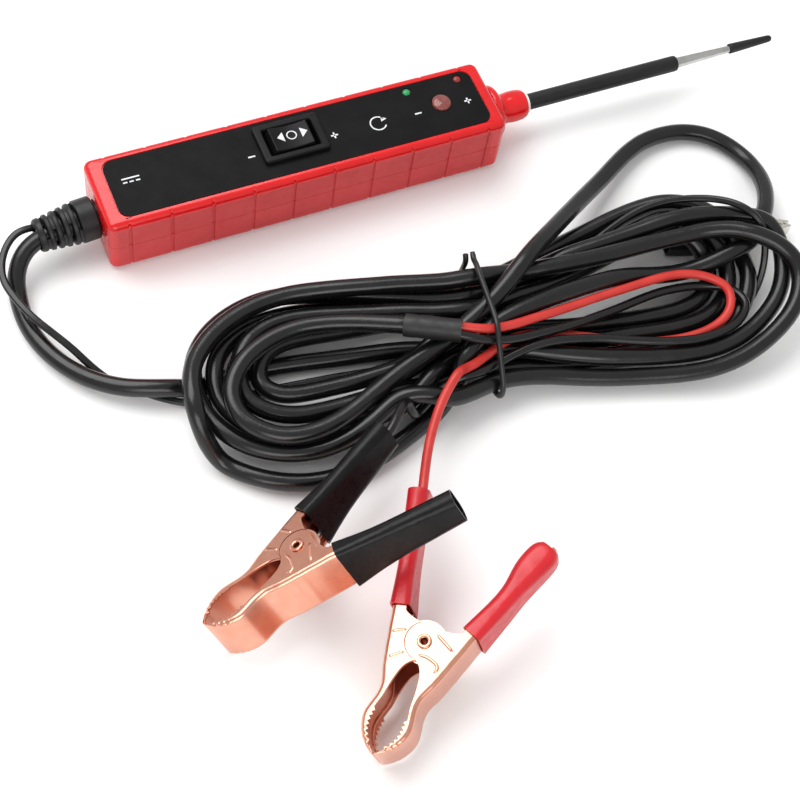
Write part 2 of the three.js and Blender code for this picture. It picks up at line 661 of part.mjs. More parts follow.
const smallEdge = [[-24, 6], [-8, 5.2], [0, 4.6], [8, 4], [16, 2.6], [20, 1.6]];
const smallOutline = [...smallEdge, [20, 0.9], [8, 0.9], [2, 0.3], [-3, 1], [-9, 3], [-24, 3.8]];

function smallTooth(i) {
  const x = 8.4 + 1.6 * i;
  return [[x, 1.4], [x, 0.85], [x + 0.8, 0.2], [x + 1.6, 0.85], [x + 1.6, 1.4]];
}

function smallHalf(moving) {
  const { tall, sheet } = GROUND_CLIP;
  const inset = moving ? sheet + 0.3 : 0;
  const both = (make) => make(-sheet - inset, -inset).add(make(-tall + inset, -tall + inset + sheet));
  let half = both((z0, z1) => plate(smallOutline, z0, z1)).add(plate(
    strip(smallEdge, sheet), -tall + inset, -inset,
  ));
  for (let i = 0; i < 7; i += 1) half = half.add(plate(smallTooth(i), -tall + inset, -inset));
  half = half.add(both((z0, z1) => post(0, 0, z0, z1, 3.2, 16)));
  return half.subtract(post(0, 0, -tall - 1, 1, 1.3, 12));
}

function groundClipBoot() {
  const { tall, bootWide, bootTall, bootBack, bootFront } = GROUND_CLIP;
  return solid(flatSleeve(bootWide, bootTall, 3.2, 0.8, [bootBack, 0, -tall / 2], 0, bootFront - bootBack));
}

function groundClip() {
  const { tall } = GROUND_CLIP;
  const clip = new THREE.Group();
  clip.applyMatrix4(groundClipFrame);
  group.add(clip);
  add('ground_clip_fixed_jaw', smallHalf(false).mirror([0, 1, 0]), STEEL, clip);
  add('ground_clip_moving_jaw', smallHalf(true), STEEL, clip);
  add('ground_clip_pin', post(0, 0, -tall - 0.3, 0.3, 1, 12), STEEL, clip);
  const legAngle = THREE.MathUtils.degToRad(170);
  add('ground_clip_spring', torsionSpring(2, 0.7, 2, 11, legAngle, -tall / 2), STEEL, clip);
  add('ground_clip_boot', groundClipBoot(), BLACK, clip);
}

// ---- the cords, laid on the bench -----------------------------------------------------------

const STEP = 9;
const BENCH_UNDER_TIE = 2 * TIE.radius + 0.4;

// Each row is one turn of the coil, in laying order: the Y where it crosses the waist on its way
// out, the right lobe's near side, the right tip's X, the right lobe's far side, the Y at the
// waist on its way back, then the left lobe's far side, the left tip's X and its near side.
const turns = [
  {
    out: -92, rightNear: -104, rightTip: 136, rightFar: -62, back: -72, leftFar: -66, leftTip: -46,
    leftNear: -88,
  },
  {
    out: -86, rightNear: -98, rightTip: 129, rightFar: -68, back: -78, leftFar: -60, leftTip: -52,
    leftNear: -95,
  },
  {
    out: -95, rightNear: -111, rightTip: 143, rightFar: -57, back: -67, leftFar: -55, leftTip: -61,
    leftNear: -103,
  },
  {
    out: -99, rightNear: -118, rightTip: 147, rightFar: -71, back: -74, leftFar: -50, leftTip: -63,
    leftNear: -110,
  },
  {
    out: -102, rightNear: -124, rightTip: 152, rightFar: -76, back: -69, leftFar: -53, leftTip: -69,
    leftNear: -118, nearStart: -18,
  },
];

// Half an ellipse from one side of a lobe to the other, round its tip. Its far half may start at
// a height of its own.
function lobe(x, tip, from, to, start) {
  const points = [];
  for (let i = 0; i <= 6; i += 1) {
    const a = (Math.PI * i) / 6;
    points.push([
      x + (tip - x) * Math.sin(a), (from + to) / 2 + ((from - to) / 2) * Math.cos(a),
      i > 3 ? start : undefined,
    ]);
  }
  return points;
}

function cablePath() {
  const path = [
    alongRelief(-8, RELIEF.cableOffset), alongRelief(0, RELIEF.cableOffset),
    alongRelief(11, RELIEF.cableOffset),
  ];
  path.push(
    alongRelief(RELIEF.length, RELIEF.cableOffset), [-105.5, -8, 9], [-109, -20], [-108, -35],
    [-100, -52],
  );
  path.push([-85, -66], [-66, -73], [-40, -72], [-15, -76], [12, -81.5]);
  for (const t of turns) {
    path.push(
      [TIE.x, t.out], [75, 0.4 * t.out + 0.6 * t.rightNear],
      ...lobe(112, t.rightTip, t.rightNear, t.rightFar),
    );
    path.push([75, 0.4 * t.back + 0.6 * t.rightFar], [TIE.x, t.back], [8, 0.5 * t.back + 0.5 * t.leftFar]);
    path.push(
      ...lobe(-28, t.leftTip, t.leftFar, t.leftNear, t.nearStart),
      [8, 0.5 * t.leftNear - 48, t.nearStart],
    );
  }
  // The last turn strays out of the bundle, comes back over the waist and ends in the sleeve.
  path.push(
    [TIE.x, -89], [80, -85], [118, -86, -12], [140, -81, -10], [153, -73, -10], [163, -60, -14],
    [166, -43, -20], [154, -27, -18], [133, -24.5, -14],
  );
  path.push(
    [102, -40.5, -8], [66, -64], [TIE.x, -82], [10, -91], [-12, -100.5], [-32, -106], [-48, -102],
    [-57, -88],
  );
  path.push([-51, -76], [-38, -69], [-24, -68], [-10, -72], [3, -78], [14, -84], [24, -90]);
  return path;
}

function groundWirePath() {
  const path = [-8, 0, 11, RELIEF.length].map((d) => alongRelief(d, RELIEF.wireOffset));
  path.push(
    [-104, 0.5, 14], [-112, -10, 12], [-109, -27, 12], [-99, -43, 8], [-89, -58], [-78, -66],
    [-62, -76],
  );
  path.push(
    [-36, -79], [0, -84], [TIE.x, -93], [76, -104], [112, -109], [136, -101], [143, -86, 18],
    [132, -69, 18], [112, -61, 18],
  );
  path.push(
    [76, -68, 12], [TIE.x, -76], [8, -64], [-24, -57], [-46, -63], [-56, -80], [-48, -96],
    [-24, -101], [8, -95],
  );
  path.push([TIE.x, -82], [70, -73], [98, -66]);
  // It enters the boot behind the handles.
  for (const u of [-40, -33, -25.6]) {
    const inBoot = new THREE.Vector3(u, -1, -GROUND_CLIP.tall / 2);
    path.push(inBoot.applyMatrix4(groundClipFrame).toArray());
  }
  return path;
}

// A lead's last stretch, inside the fixed handle of its battery clip.
function leadEnd(frame, approach) {
  const inside = [44, 38, 30, 22, 15].map((along) => {
    const [x, y] = handlePoint(along, 0.6);
    return new THREE.Vector3(x, -y, -CLIP.width / 2).applyMatrix4(frame).toArray();
  });
  return [...approach, ...inside];
}

// The leads start side by side in the shrink sleeve, where the cable's jacket ends.
const SLEEVE_LINKS = 4;
const LEAD_START = 2;

function sleeveEnd(cable) {
  return cable.points.slice(-1 - LEAD_START).map(({ home }) => [home.x, home.y, home.z]);
}

function redLeadPath(cable) {
  const path = [
    ...sleeveEnd(cable).map(([x, y]) => [x, y]), [TIE.x, -92], [50, -91], [62, -90], [80, -88],
    [104, -87], [118, -90.5],
  ];
  path.push(
    [126, -99.5], [121, -108.5], [108, -111.5], [92, -109], [73, -101.5], [55, -94.5],
    [TIE.x, -93.5], [24, -97.5],
  );
  path.push([14, -105, 19], [6, -113, 18.5], [-1, -122, 18.5], [-6, -130, 19]);
  return leadEnd(redClipFrame, path);
}

function blackLeadPath(cable) {
  const path = [
    ...sleeveEnd(cable).map(([x, y]) => [x, y]), [TIE.x, -95], [50, -96], [62, -96], [82, -94],
    [104, -92], [122, -96],
  ];
  path.push(
    [131, -104], [124, -113], [108, -115], [90, -110], [70, -102], [54, -98], [TIE.x, -97.5],
    [20, -99.5],
  );
  path.push([4, -103], [-4, -107, 20]);
  return leadEnd(blackClipFrame, path);
}

// A cord is a chain of evenly spaced points. Those by its first and last few waypoints are held;
// the others start lifted, later turns higher, and settle on whatever lies below.
function makeCord(name, radius, waypoints, firstHeld, lastHeld, liftStart, liftEnd) {
  const spine = smoothPath(waypoints.map(([x, y, z]) => [x, y, z === undefined ? radius : z]), STEP);
  const held = [...waypoints.slice(0, firstHeld), ...waypoints.slice(waypoints.length - lastHeld)]
    .map((p) => new THREE.Vector3(...p));
  const points = spine.map((home, i) => {
    const distance = Math.min(...held.map((h) => h.distanceTo(home)), 1e3);
    const hold = THREE.MathUtils.clamp(1 - (distance - STEP) / 12, 0, 1);
    const at = home.clone();
    at.z += (1 - hold) * (liftStart + ((liftEnd - liftStart) * i) / spine.length);
    return { home, at, hold, radius };
  });
  return { name, points };
}

function closestOnSegments(p, q, r, s) {
  const d1 = q.clone().sub(p), d2 = s.clone().sub(r), w = p.clone().sub(r);
  const a = d1.dot(d1), e = d2.dot(d2), f = d2.dot(w), c = d1.dot(w), b = d1.dot(d2);
  const spread = a * e - b * b;
  let t = spread > 1e-6 ? THREE.MathUtils.clamp((b * f - c * e) / spread, 0, 1) : 0.5;
  const u = THREE.MathUtils.clamp((b * t + f) / e, 0, 1);
  t = THREE.MathUtils.clamp((b * u - c) / a, 0, 1);
  return [t, u];
}

function linksOf(cords) {
  const links = [];
  for (const cord of cords) {
    const last = cord.points.length - 1;
    for (let i = 0; i < last; i += 1) {
      const sleeved = cord.leader ? i < LEAD_START : false;
      const root = cord.leader ? i < LEAD_START + 2 : Boolean(cord.sleeved) && i >= last - SLEEVE_LINKS;
      links.push({ a: cord.points[i], b: cord.points[i + 1], cord, i, sleeved, root, end: i > last - 10 });
    }
  }
  return links;
}

function nearPairs(links, reach) {
  const pairs = [];
  for (let i = 0; i < links.length; i += 1) {
    for (let j = i + 1; j < links.length; j += 1) {
      const m = links[i], n = links[j];
      if (m.sleeved || n.sleeved || (m.root && n.root)) continue;
      if (m.cord === n.cord && n.i - m.i <= 2) continue;
      if (m.a.at.distanceToSquared(n.a.at) < reach * reach) pairs.push([m, n]);
    }
  }
  return pairs;
}

// Pushes two touching links apart, each end by its share and none by much at once.
function separate(m, n, gap) {
  const [t, u] = closestOnSegments(m.a.at, m.b.at, n.a.at, n.b.at);
  const apart = m.a.at.clone().lerp(m.b.at, t).sub(n.a.at.clone().lerp(n.b.at, u));
  const distance = apart.length();
  const need = m.a.radius + n.a.radius + gap - distance;
  if (need <= 0 || distance < 1e-6) return;
  const shares = [[m.a, 1 - t, 1], [m.b, t, 1], [n.a, 1 - u, -1], [n.b, u, -1]];
  for (const share of shares) share[1] *= 1 - share[0].hold;
  const total = Math.max(0.3, shares.reduce((sum, [, w]) => sum + w * w, 0));
  for (const [k, w, sign] of shares) k.at.addScaledVector(apart, (sign * w * need) / (total * distance));
}

function benchHeight(x) {
  return BENCH_UNDER_TIE * (1 - THREE.MathUtils.smoothstep(Math.abs(x - TIE.x), 3, 14));
}

function relax(points, weight) {
  const drift = points.map(({ at, home }) => at.clone().sub(home));
  points.forEach(({ at, home, hold }, i) => {
    const before = drift[Math.max(0, i - 1)], after = drift[Math.min(points.length - 1, i + 1)];
    const target = drift[i].clone().lerp(before.clone().add(after).multiplyScalar(0.5), 0.35);
    target.x *= 0.97;
    target.y *= 0.97;
    target.z -= weight;
    at.copy(home).add(drift[i].lerp(target, 1 - hold));
  });
}

// The leads' first points ride in the sleeve, either side of the cable's line.
function followLeader({ points, leader, side }) {
  const from = leader.points.length - 1 - LEAD_START;
  for (let k = 0; k <= LEAD_START; k += 1) {
    const along = leader.points[from + k].at.clone().sub(leader.points[from + k - 1].at);
    const offset = new THREE.Vector3(-along.y, along.x, 0).setLength(side);
    points[k].at.copy(leader.points[from + k].at).add(offset);
  }
}

// Points relax towards a smooth line near their homes, sink under their weight and are pushed out
// of each other, of the bench and of the clips.
function settle(cords, blocks) {
  const rounds = 460, quiet = 180, gap = 0.5;
  const links = linksOf(cords);
  let pairs = [];
  for (let round = 0; round < rounds; round += 1) {
    const last = round >= rounds - quiet;
    if (round % 8 === 0) pairs = nearPairs(links, STEP + 14);
    for (const { points } of cords) relax(points, last ? 0.04 : 0.2);
    for (let pass = 0; pass < (last ? 4 : 2); pass += 1) {
      for (const cord of cords) if (cord.leader) followLeader(cord);
      for (const [m, n] of pairs) separate(m, n, gap);
      for (const block of blocks) {
        for (const link of links) {
          const own = link.cord.name === block.wire && link.end;
          if (!own) separate(link, block, gap);
        }
      }
      for (const { points } of cords) {
        for (const k of points) if (k.hold < 1) k.at.z = Math.max(k.at.z, k.radius + benchHeight(k.at.x));
      }
    }
  }
  for (const cord of cords) if (cord.leader) followLeader(cord);
  return links;
}

// Thick lines inside the ground clip and the black clip's rear handle, for the cords to clear.
function clipBlocks() {
  const blocks = [];
  const { tall } = GROUND_CLIP;
  const block = (frame, from, to, radius, wire) => {
    const end = (p) => ({ at: new THREE.Vector3(...p).applyMatrix4(frame), hold: 1, radius });
    blocks.push({ a: end(from), b: end(to), wire });
  };
  const small = (from, to, radius) => block(
    groundClipFrame, [...from, -tall / 2], [...to, -tall / 2], radius, 'ground_wire',
  );
  for (const v of [-4.6, 0, 4.6]) small(
    [GROUND_CLIP.bootBack, v], [GROUND_CLIP.bootFront, v], GROUND_CLIP.bootTall / 2 + 0.4,
  );
  small([0, 0], [14, 0], 4.8);
  small([14, 0], [20, 0], 3.6);
  for (const z of [-3, -8, -13.2]) {
    const [x0, y0] = handlePoint(2, 0), [x1, y1] = handlePoint(HANDLE.length + 1, 0);
    block(blackClipFrame, [x0, -y0, z], [x1, -y1, z], CLIP.sleeveDeep / 2 + 1, 'black_lead');
  }
  return blocks;
}

const cable = makeCord('main_cable', CABLE_RADIUS, cablePath(), 4, 0, 0, 28);
cable.sleeved = true;
for (const point of cable.points.slice(-SLEEVE_LINKS)) point.radius = SHRINK_RADIUS;
const groundWire = makeCord('ground_wire', WIRE_RADIUS, groundWirePath(), 4, 3, 1, 10);
const redLead = makeCord('red_lead', LEAD_RADIUS, redLeadPath(cable), 0, 8, 30, 34);
const blackLead = makeCord('black_lead', LEAD_RADIUS, blackLeadPath(cable), 0, 6, 28, 30);
Object.assign(redLead, { leader: cable, side: 1.7 });
Object.assign(blackLead, { leader: cable, side: -1.7 });
const cords = [cable, groundWire, redLead, blackLead];
const links = settle(cords, clipBlocks());

// ---- wire tie -------------------------------------------------------------------------------

// Where the cords pass through the tie's slightly slanted plane, as discs [y, z, radius].
function tieSection(links) {
  const discs = [];
  const side = ({ at }) => at.x - TIE.x - TIE.slant * (at.y - TIE.y);
  for (const { a, b, sleeved } of links) {
    const from = side(a), to = side(b);
    if (from * to > 0 || a.at.y > -40 || sleeved) continue;
    const at = a.at.clone().lerp(b.at, from / (from - to));
    const radius = Math.max(a.radius, b.radius);
    discs.push([at.y, at.z, radius * 1.2 + TIE.radius + 0.35]);
  }
  return discs;
}

function hull(points) {
  const sorted = [...points].sort((p, q) => p[0] - q[0] || p[1] - q[1]);
  const turn = (o, a, b) => (a[0] - o[0]) * (b[1] - o[1]) - (a[1] - o[1]) * (b[0] - o[0]);
  const chain = (list) => {
    const out = [];
    for (const p of list) {
      while (out.length > 1 && turn(out[out.length - 2], out[out.length - 1], p) <= 0) out.pop();
      out.push(p);
    }
    return out.slice(0, -1);
  };
  return [...chain(sorted), ...chain(sorted.reverse())];
}

// The tie follows the bundle's hull, starting and ending in a short twist on its far side.
function cableTie(links) {
  const rim = [];
  for (const [y, z, radius] of tieSection(links)) {
    for (let i = 0; i < 16; i += 1) {
      const a = (2 * Math.PI * i) / 16;
      rim.push([y + radius * Math.cos(a), Math.max(TIE.radius + 0.1, z + radius * Math.sin(a))]);
    }
  }
  const outline = hull(rim);
  const far = outline.reduce(
    (best, p, i) => (p[0] + 0.6 * p[1] > outline[best][0] + 0.6 * outline[best][1] ? i : best), 0,
  );
  const loop = [...outline.slice(far), ...outline.slice(0, far)];
  const last = loop.length - 1, apart = TIE.radius + 0.3;
  const place = ([y, z], dx) => [TIE.x + TIE.slant * (y - TIE.y) + dx, y, z];
  const shifted = loop.map((p, i) => place(p, apart * (1 - (2 * i) / last)));
  const [y, z] = loop[0];
  const tail = (dx, reach) => place([y + 1.3 * reach, z + 0.9 * reach], dx);
  const path = smoothPath(
    [tail(apart, 2), tail(apart, 1), ...shifted.slice(1, last), tail(-apart, 1), tail(-apart, 2)],
    3,
  );
  return tube(path, TIE.radius, 6);
}

function cordTubes() {
  const jacket = cable.points.slice(0, -LEAD_START).map((k) => k.at.clone());
  const end = jacket.length - 1;
  jacket[end].lerp(jacket[end - 1], 0.1);
  add('main_cable', tube(jacket, CABLE_RADIUS, 6), PVC);
  add('ground_wire', tube(groundWire.points.map((k) => k.at), WIRE_RADIUS, 6), PVC);
  add('red_lead', tube(redLead.points.map((k) => k.at), LEAD_RADIUS, 6), RED);
  add('black_lead', tube(blackLead.points.map((k) => k.at), LEAD_RADIUS, 6), PVC);
  const sleeve = cable.points.slice(-SLEEVE_LINKS).map((k) => k.at);
  add('shrink_sleeve', tube(sleeve, SHRINK_RADIUS + 0.1, 12, SHRINK_RADIUS - 0.4), BLACK);
}
cordTubes();
add('cable_tie', cableTie(links), PVC);

add('upper_shell', upperShell(), RED);
add('lower_shell', lowerShell(), RED);
housingScrews();
add('face_label', faceLabel(), BLACK);
add('switch_body', switchBody(), BLACK);
add('rocker_button', rockerButton(), BLACK);
add('rocker_pin', rockerPin(), STEEL);
switchTerminals();
lamps();
add('circuit_board', circuitBoard(), { color: 0x2d6b3f, roughness: 0.6, metalness: 0 });
add('thermal_breaker', thermalBreaker(), STEEL);
insideWires();
add('probe_gland', probeGland(), RED);
add('probe_liner', probeLiner(), { color: 0xe8e6e0, roughness: 0.6, metalness: 0 });
add('probe_rod', probeRod(), STEEL);
add('probe_sleeve', probeSleeve(), BLACK);
add('probe_tip_cap', tipCap(), BLACK);
strainRelief();
batteryClip('black', blackClipFrame, BLACK);
batteryClip('red', redClipFrame, RED);
groundClip();

export default group;
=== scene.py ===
"""A hand-held circuit test light: its looks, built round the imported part. Lengths are millimetres."""

import math

import bmesh
import bpy
import numpy as np
from mathutils import Matrix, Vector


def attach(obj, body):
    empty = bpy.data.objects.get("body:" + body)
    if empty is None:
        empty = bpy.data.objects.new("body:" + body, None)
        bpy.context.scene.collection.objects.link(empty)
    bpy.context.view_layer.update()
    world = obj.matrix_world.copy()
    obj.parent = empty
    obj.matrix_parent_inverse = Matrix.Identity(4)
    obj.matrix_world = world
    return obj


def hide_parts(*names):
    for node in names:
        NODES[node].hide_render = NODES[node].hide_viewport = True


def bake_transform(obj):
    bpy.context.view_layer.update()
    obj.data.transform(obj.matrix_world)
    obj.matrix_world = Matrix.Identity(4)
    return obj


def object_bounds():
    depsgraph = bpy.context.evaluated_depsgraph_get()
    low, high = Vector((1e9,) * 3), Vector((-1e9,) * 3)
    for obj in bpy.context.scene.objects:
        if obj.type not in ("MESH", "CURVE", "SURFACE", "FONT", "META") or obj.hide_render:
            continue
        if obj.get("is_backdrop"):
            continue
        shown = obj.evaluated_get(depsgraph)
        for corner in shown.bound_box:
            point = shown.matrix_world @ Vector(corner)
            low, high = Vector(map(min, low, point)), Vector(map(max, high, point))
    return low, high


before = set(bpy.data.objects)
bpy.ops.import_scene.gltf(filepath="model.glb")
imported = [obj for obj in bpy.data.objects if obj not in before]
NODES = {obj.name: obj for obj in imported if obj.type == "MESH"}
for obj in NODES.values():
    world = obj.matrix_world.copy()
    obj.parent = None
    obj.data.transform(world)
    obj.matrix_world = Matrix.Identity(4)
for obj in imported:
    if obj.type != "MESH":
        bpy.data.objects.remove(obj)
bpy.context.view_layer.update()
MM = 0.001
PI = math.pi
CLEAN = 0.00001

# ---- meshes ----


class Surface:
    """Points and faces of one or more closed skins."""

    def __init__(self):
        self.points = []
        self.faces = []

    def rows(self, rows, loop=False):
        """A skin through rings of equally many points. Its ends are closed, or joined up if loop."""
        rows = np.asarray(rows, float)
        count, around = rows.shape[:2]
        base = len(self.points)
        self.points.extend(map(tuple, rows.reshape(-1, 3)))
        for i in range(count if loop else count - 1):
            a, b = base + i * around, base + ((i + 1) % count) * around
            for j in range(around):
                k = (j + 1) % around
                self.faces.append((a + j, a + k, b + k, b + j))
        if not loop:
            last = base + (count - 1) * around
            self.faces.append(tuple(base + j for j in reversed(range(around))))
            self.faces.append(tuple(last + j for j in range(around)))
        return self


def skin(rows, loop=False):
    return Surface().rows(rows, loop)


def raw(name, surface, place=None):
    """The surface as an object, in metres. place is a 4x4 placement in millimetres."""
    points = np.array(surface.points, float)
    if place is not None:
        points = points @ place[:3, :3].T + place[:3, 3]
    mesh = bpy.data.meshes.new(name)
    mesh.from_pydata([tuple(p) for p in points * MM], [], surface.faces)
    work = bmesh.new()
    work.from_mesh(mesh)
    bmesh.ops.remove_doubles(work, verts=work.verts, dist=CLEAN * 0.1)
    bmesh.ops.recalc_face_normals(work, faces=work.faces)
    work.to_mesh(mesh)
    work.free()
    obj = bpy.data.objects.new(name, mesh)
    bpy.context.scene.collection.objects.link(obj)
    return obj


def settle(obj):
    """Applies the object's modifiers to its mesh."""
    graph = bpy.context.evaluated_depsgraph_get()
    mesh = bpy.data.meshes.new_from_object(obj.evaluated_get(graph))
    obj.modifiers.clear()
    obj.data = mesh
    return obj


def carve(obj, *cutters, operation="DIFFERENCE"):
    """Cuts each cutter out of the object, or joins it on."""
    for cutter in cutters:
        change = obj.modifiers.new("cut", "BOOLEAN")
        change.object = cutter
        change.operation = operation
        change.solver = "EXACT"
        settle(obj)
        bpy.data.objects.remove(cutter)
    return obj


def soften(obj, width, segments):
    """Rounds the object's sharp edges."""
    soft = obj.modifiers.new("edge", "BEVEL")
    soft.width = width * MM
    soft.segments = segments
    soft.angle_limit = math.radians(35)


def paint(obj, material):
    obj.data.materials.clear()
    obj.data.materials.append(material)


def dress(obj, material, body, node=None, slot=None, sharp=38, bevel=0, twist=None):
    """Gives a finished piece its smoothing, material and body, and hides the node it stands for.

    A piece with a twist stays where it was built, on no body."""
    if bevel:
        soften(obj, bevel, 3)
        settle(obj)
    paint(obj, material)
    obj.data.shade_smooth()
    obj.data.set_sharp_from_angle(angle=math.radians(sharp))
    weighted = obj.modifiers.new("normals", "WEIGHTED_NORMAL")
    weighted.keep_sharp = True
    if twist:
        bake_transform(obj)
    else:
        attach(obj, body)
    if node:
        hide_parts(node)
    return obj


def piece(name, surface, material, body="handset", node=None, slot=None, place=None, **looks):
    """A surface made into a finished piece."""
    return dress(raw(name, surface, place), material, body, node, slot, **looks)


# ---- outlines and sweeps ----


def unit(way):
    way = np.asarray(way, float)
    return way / np.linalg.norm(way)


def circle(steps):
    """Equally spaced angles all round."""
    return np.linspace(0, 2 * PI, steps, endpoint=False)


def arc(cx, cy, radius, start, end, steps):
    """Points on a circle from start to end, in degrees."""
    turn = np.linspace(math.radians(start), math.radians(end), steps + 1)
    return [(cx + radius * math.cos(a), cy + radius * math.sin(a)) for a in turn]


def soft_rectangle(half_x, half_y, radius, cx=0, cy=0, steps=8):
    """A rectangle with round corners, anticlockwise."""
    x, y = half_x - radius, half_y - radius
    points = []
    for sx, sy, start in ((1, 1, 0), (-1, 1, 90), (-1, -1, 180), (1, -1, 270)):
        points += arc(cx + sx * x, cy + sy * y, radius, start, start + 90, steps)
    return points


def flat(points, z):
    """An outline at a height."""
    return [(x, y, z) for x, y in points]


def block(outline, z0, z1):
    return skin([flat(outline, z0), flat(outline, z1)])


def disc(x, y, z0, z1, radius, sides=40):
    return block(arc(x, y, radius, 0, 360 - 360 / sides, sides - 1), z0, z1)


def turned(profile, sides=56, shape=lambda x, angle: 1):
    """Rings of a profile of (distance along X, radius) turned round the X axis.

    shape(x, angle) scales the radius."""
    turn = circle(sides)
    rows = []
    for x, r in profile:
        radii = [r * shape(x, a) for a in turn]
        rows.append([(x, radius * math.cos(a), radius * math.sin(a)) for a, radius in zip(turn, radii)])
    return rows


def rounded_profile(corners, steps=5):
    """A line through (x, r, round) corners with each corner rounded off by its own radius."""
    line = []
    for i, (x, r, soft) in enumerate(corners):
        if not soft:
            line.append((x, r))
            continue
        here = np.array((x, r), float)
        legs = [np.array(corners[j][:2]) - here for j in (i - 1, i + 1)]
        a, b = [here + leg * min(soft / np.linalg.norm(leg), 0.49) for leg in legs]
        for t in np.linspace(0, 1, steps + 1):
            line.append(tuple((1 - t) ** 2 * a + 2 * t * (1 - t) * here + t ** 2 * b))
    return line


def through(points, between):
    """A smooth line through the points, with this many steps between neighbours."""
    p = np.asarray(points, float)
    ends = np.vstack([2 * p[0] - p[1], p, 2 * p[-1] - p[-2]])
    line = []
    for i in range(1, len(ends) - 2):
        a, b, c, d = ends[i - 1:i + 3]
        for t in np.arange(between) / between:
            line.append(0.5 * (2 * b + (c - a) * t + (2 * a - 5 * b + 4 * c - d) * t ** 2
                               + (3 * b - a - 3 * c + d) * t ** 3))
    return np.array(line + [p[-1]])


def frames(path):
    """Two sideways directions at each point of a path, turning as little as possible."""
    ahead = np.gradient(path, axis=0)
    ahead /= np.linalg.norm(ahead, axis=1)[:, None]
    side = np.cross(ahead[0], (0, 0, 1) if abs(ahead[0][2]) < 0.9 else (1, 0, 0))
    sides = []
    for t in ahead:
        side = side - t * (side @ t)
        side /= np.linalg.norm(side)
        sides.append(side)
    sides = np.array(sides)
    return sides, np.cross(ahead, sides)


def tube(path, radius, sides=20, section=None, ends=0.25):
    """A round or shaped cord along a path. section gives (across, up) points of its outline for radius 1."""
    u, v = frames(path)
    outline = section or arc(0, 0, 1, 0, 360 - 360 / sides, sides - 1)
    rows = [[path[i] + radius * (a * u[i] + b * v[i]) for a, b in outline] for i in range(len(path))]
    first, last = unit(path[0] - path[1]), unit(path[-1] - path[-2])
    for at, way, index in ((0, first, 0), (len(rows), last, -1)):
        centre = path[index]
        rows.insert(at, [centre + (p - centre) * (1 - ends / radius) + way * ends * 0.5 for p in rows[index]])
    return skin(rows)


def centreline(name, sides, reach=8):
    """The centres of the sections of a CAD cord, from one end to the other, in millimetres."""
    work = bmesh.new()
    work.from_mesh(NODES[name].data)
    bmesh.ops.remove_doubles(work, verts=work.verts, dist=CLEAN)
    work.verts.ensure_lookup_table()
    points = np.array([v.co for v in work.verts]) / MM
    near = [[e.other_vert(v).index for e in v.link_edges] for v in work.verts]
    work.free()

    def levels(start):
        level = np.full(len(points), -1)
        level[start] = 0
        front, depth = list(start), 0
        while front:
            depth += 1
            front = sorted({j for i in front for j in near[i] if level[j] < 0})
            level[front] = depth
        return level, depth

    level, _ = levels([0])
    tip = int(np.argmax(level))
    from_tip, _ = levels([tip])
    close = np.flatnonzero(from_tip <= reach)
    ring = close[np.argsort(np.linalg.norm(points[close] - points[tip], axis=1))[:sides]]
    level, depth = levels(list(ring))
    return np.array([points[level == i].mean(0) for i in range(depth)])


# ---- materials ----


def srgb(r, g, b):
    """A colour given in 0..255 display values."""
    linear = [c / 255 / 12.92 if c <= 10 else ((c / 255 + 0.055) / 1.055) ** 2.4 for c in (r, g, b)]
    return (*linear, 1)


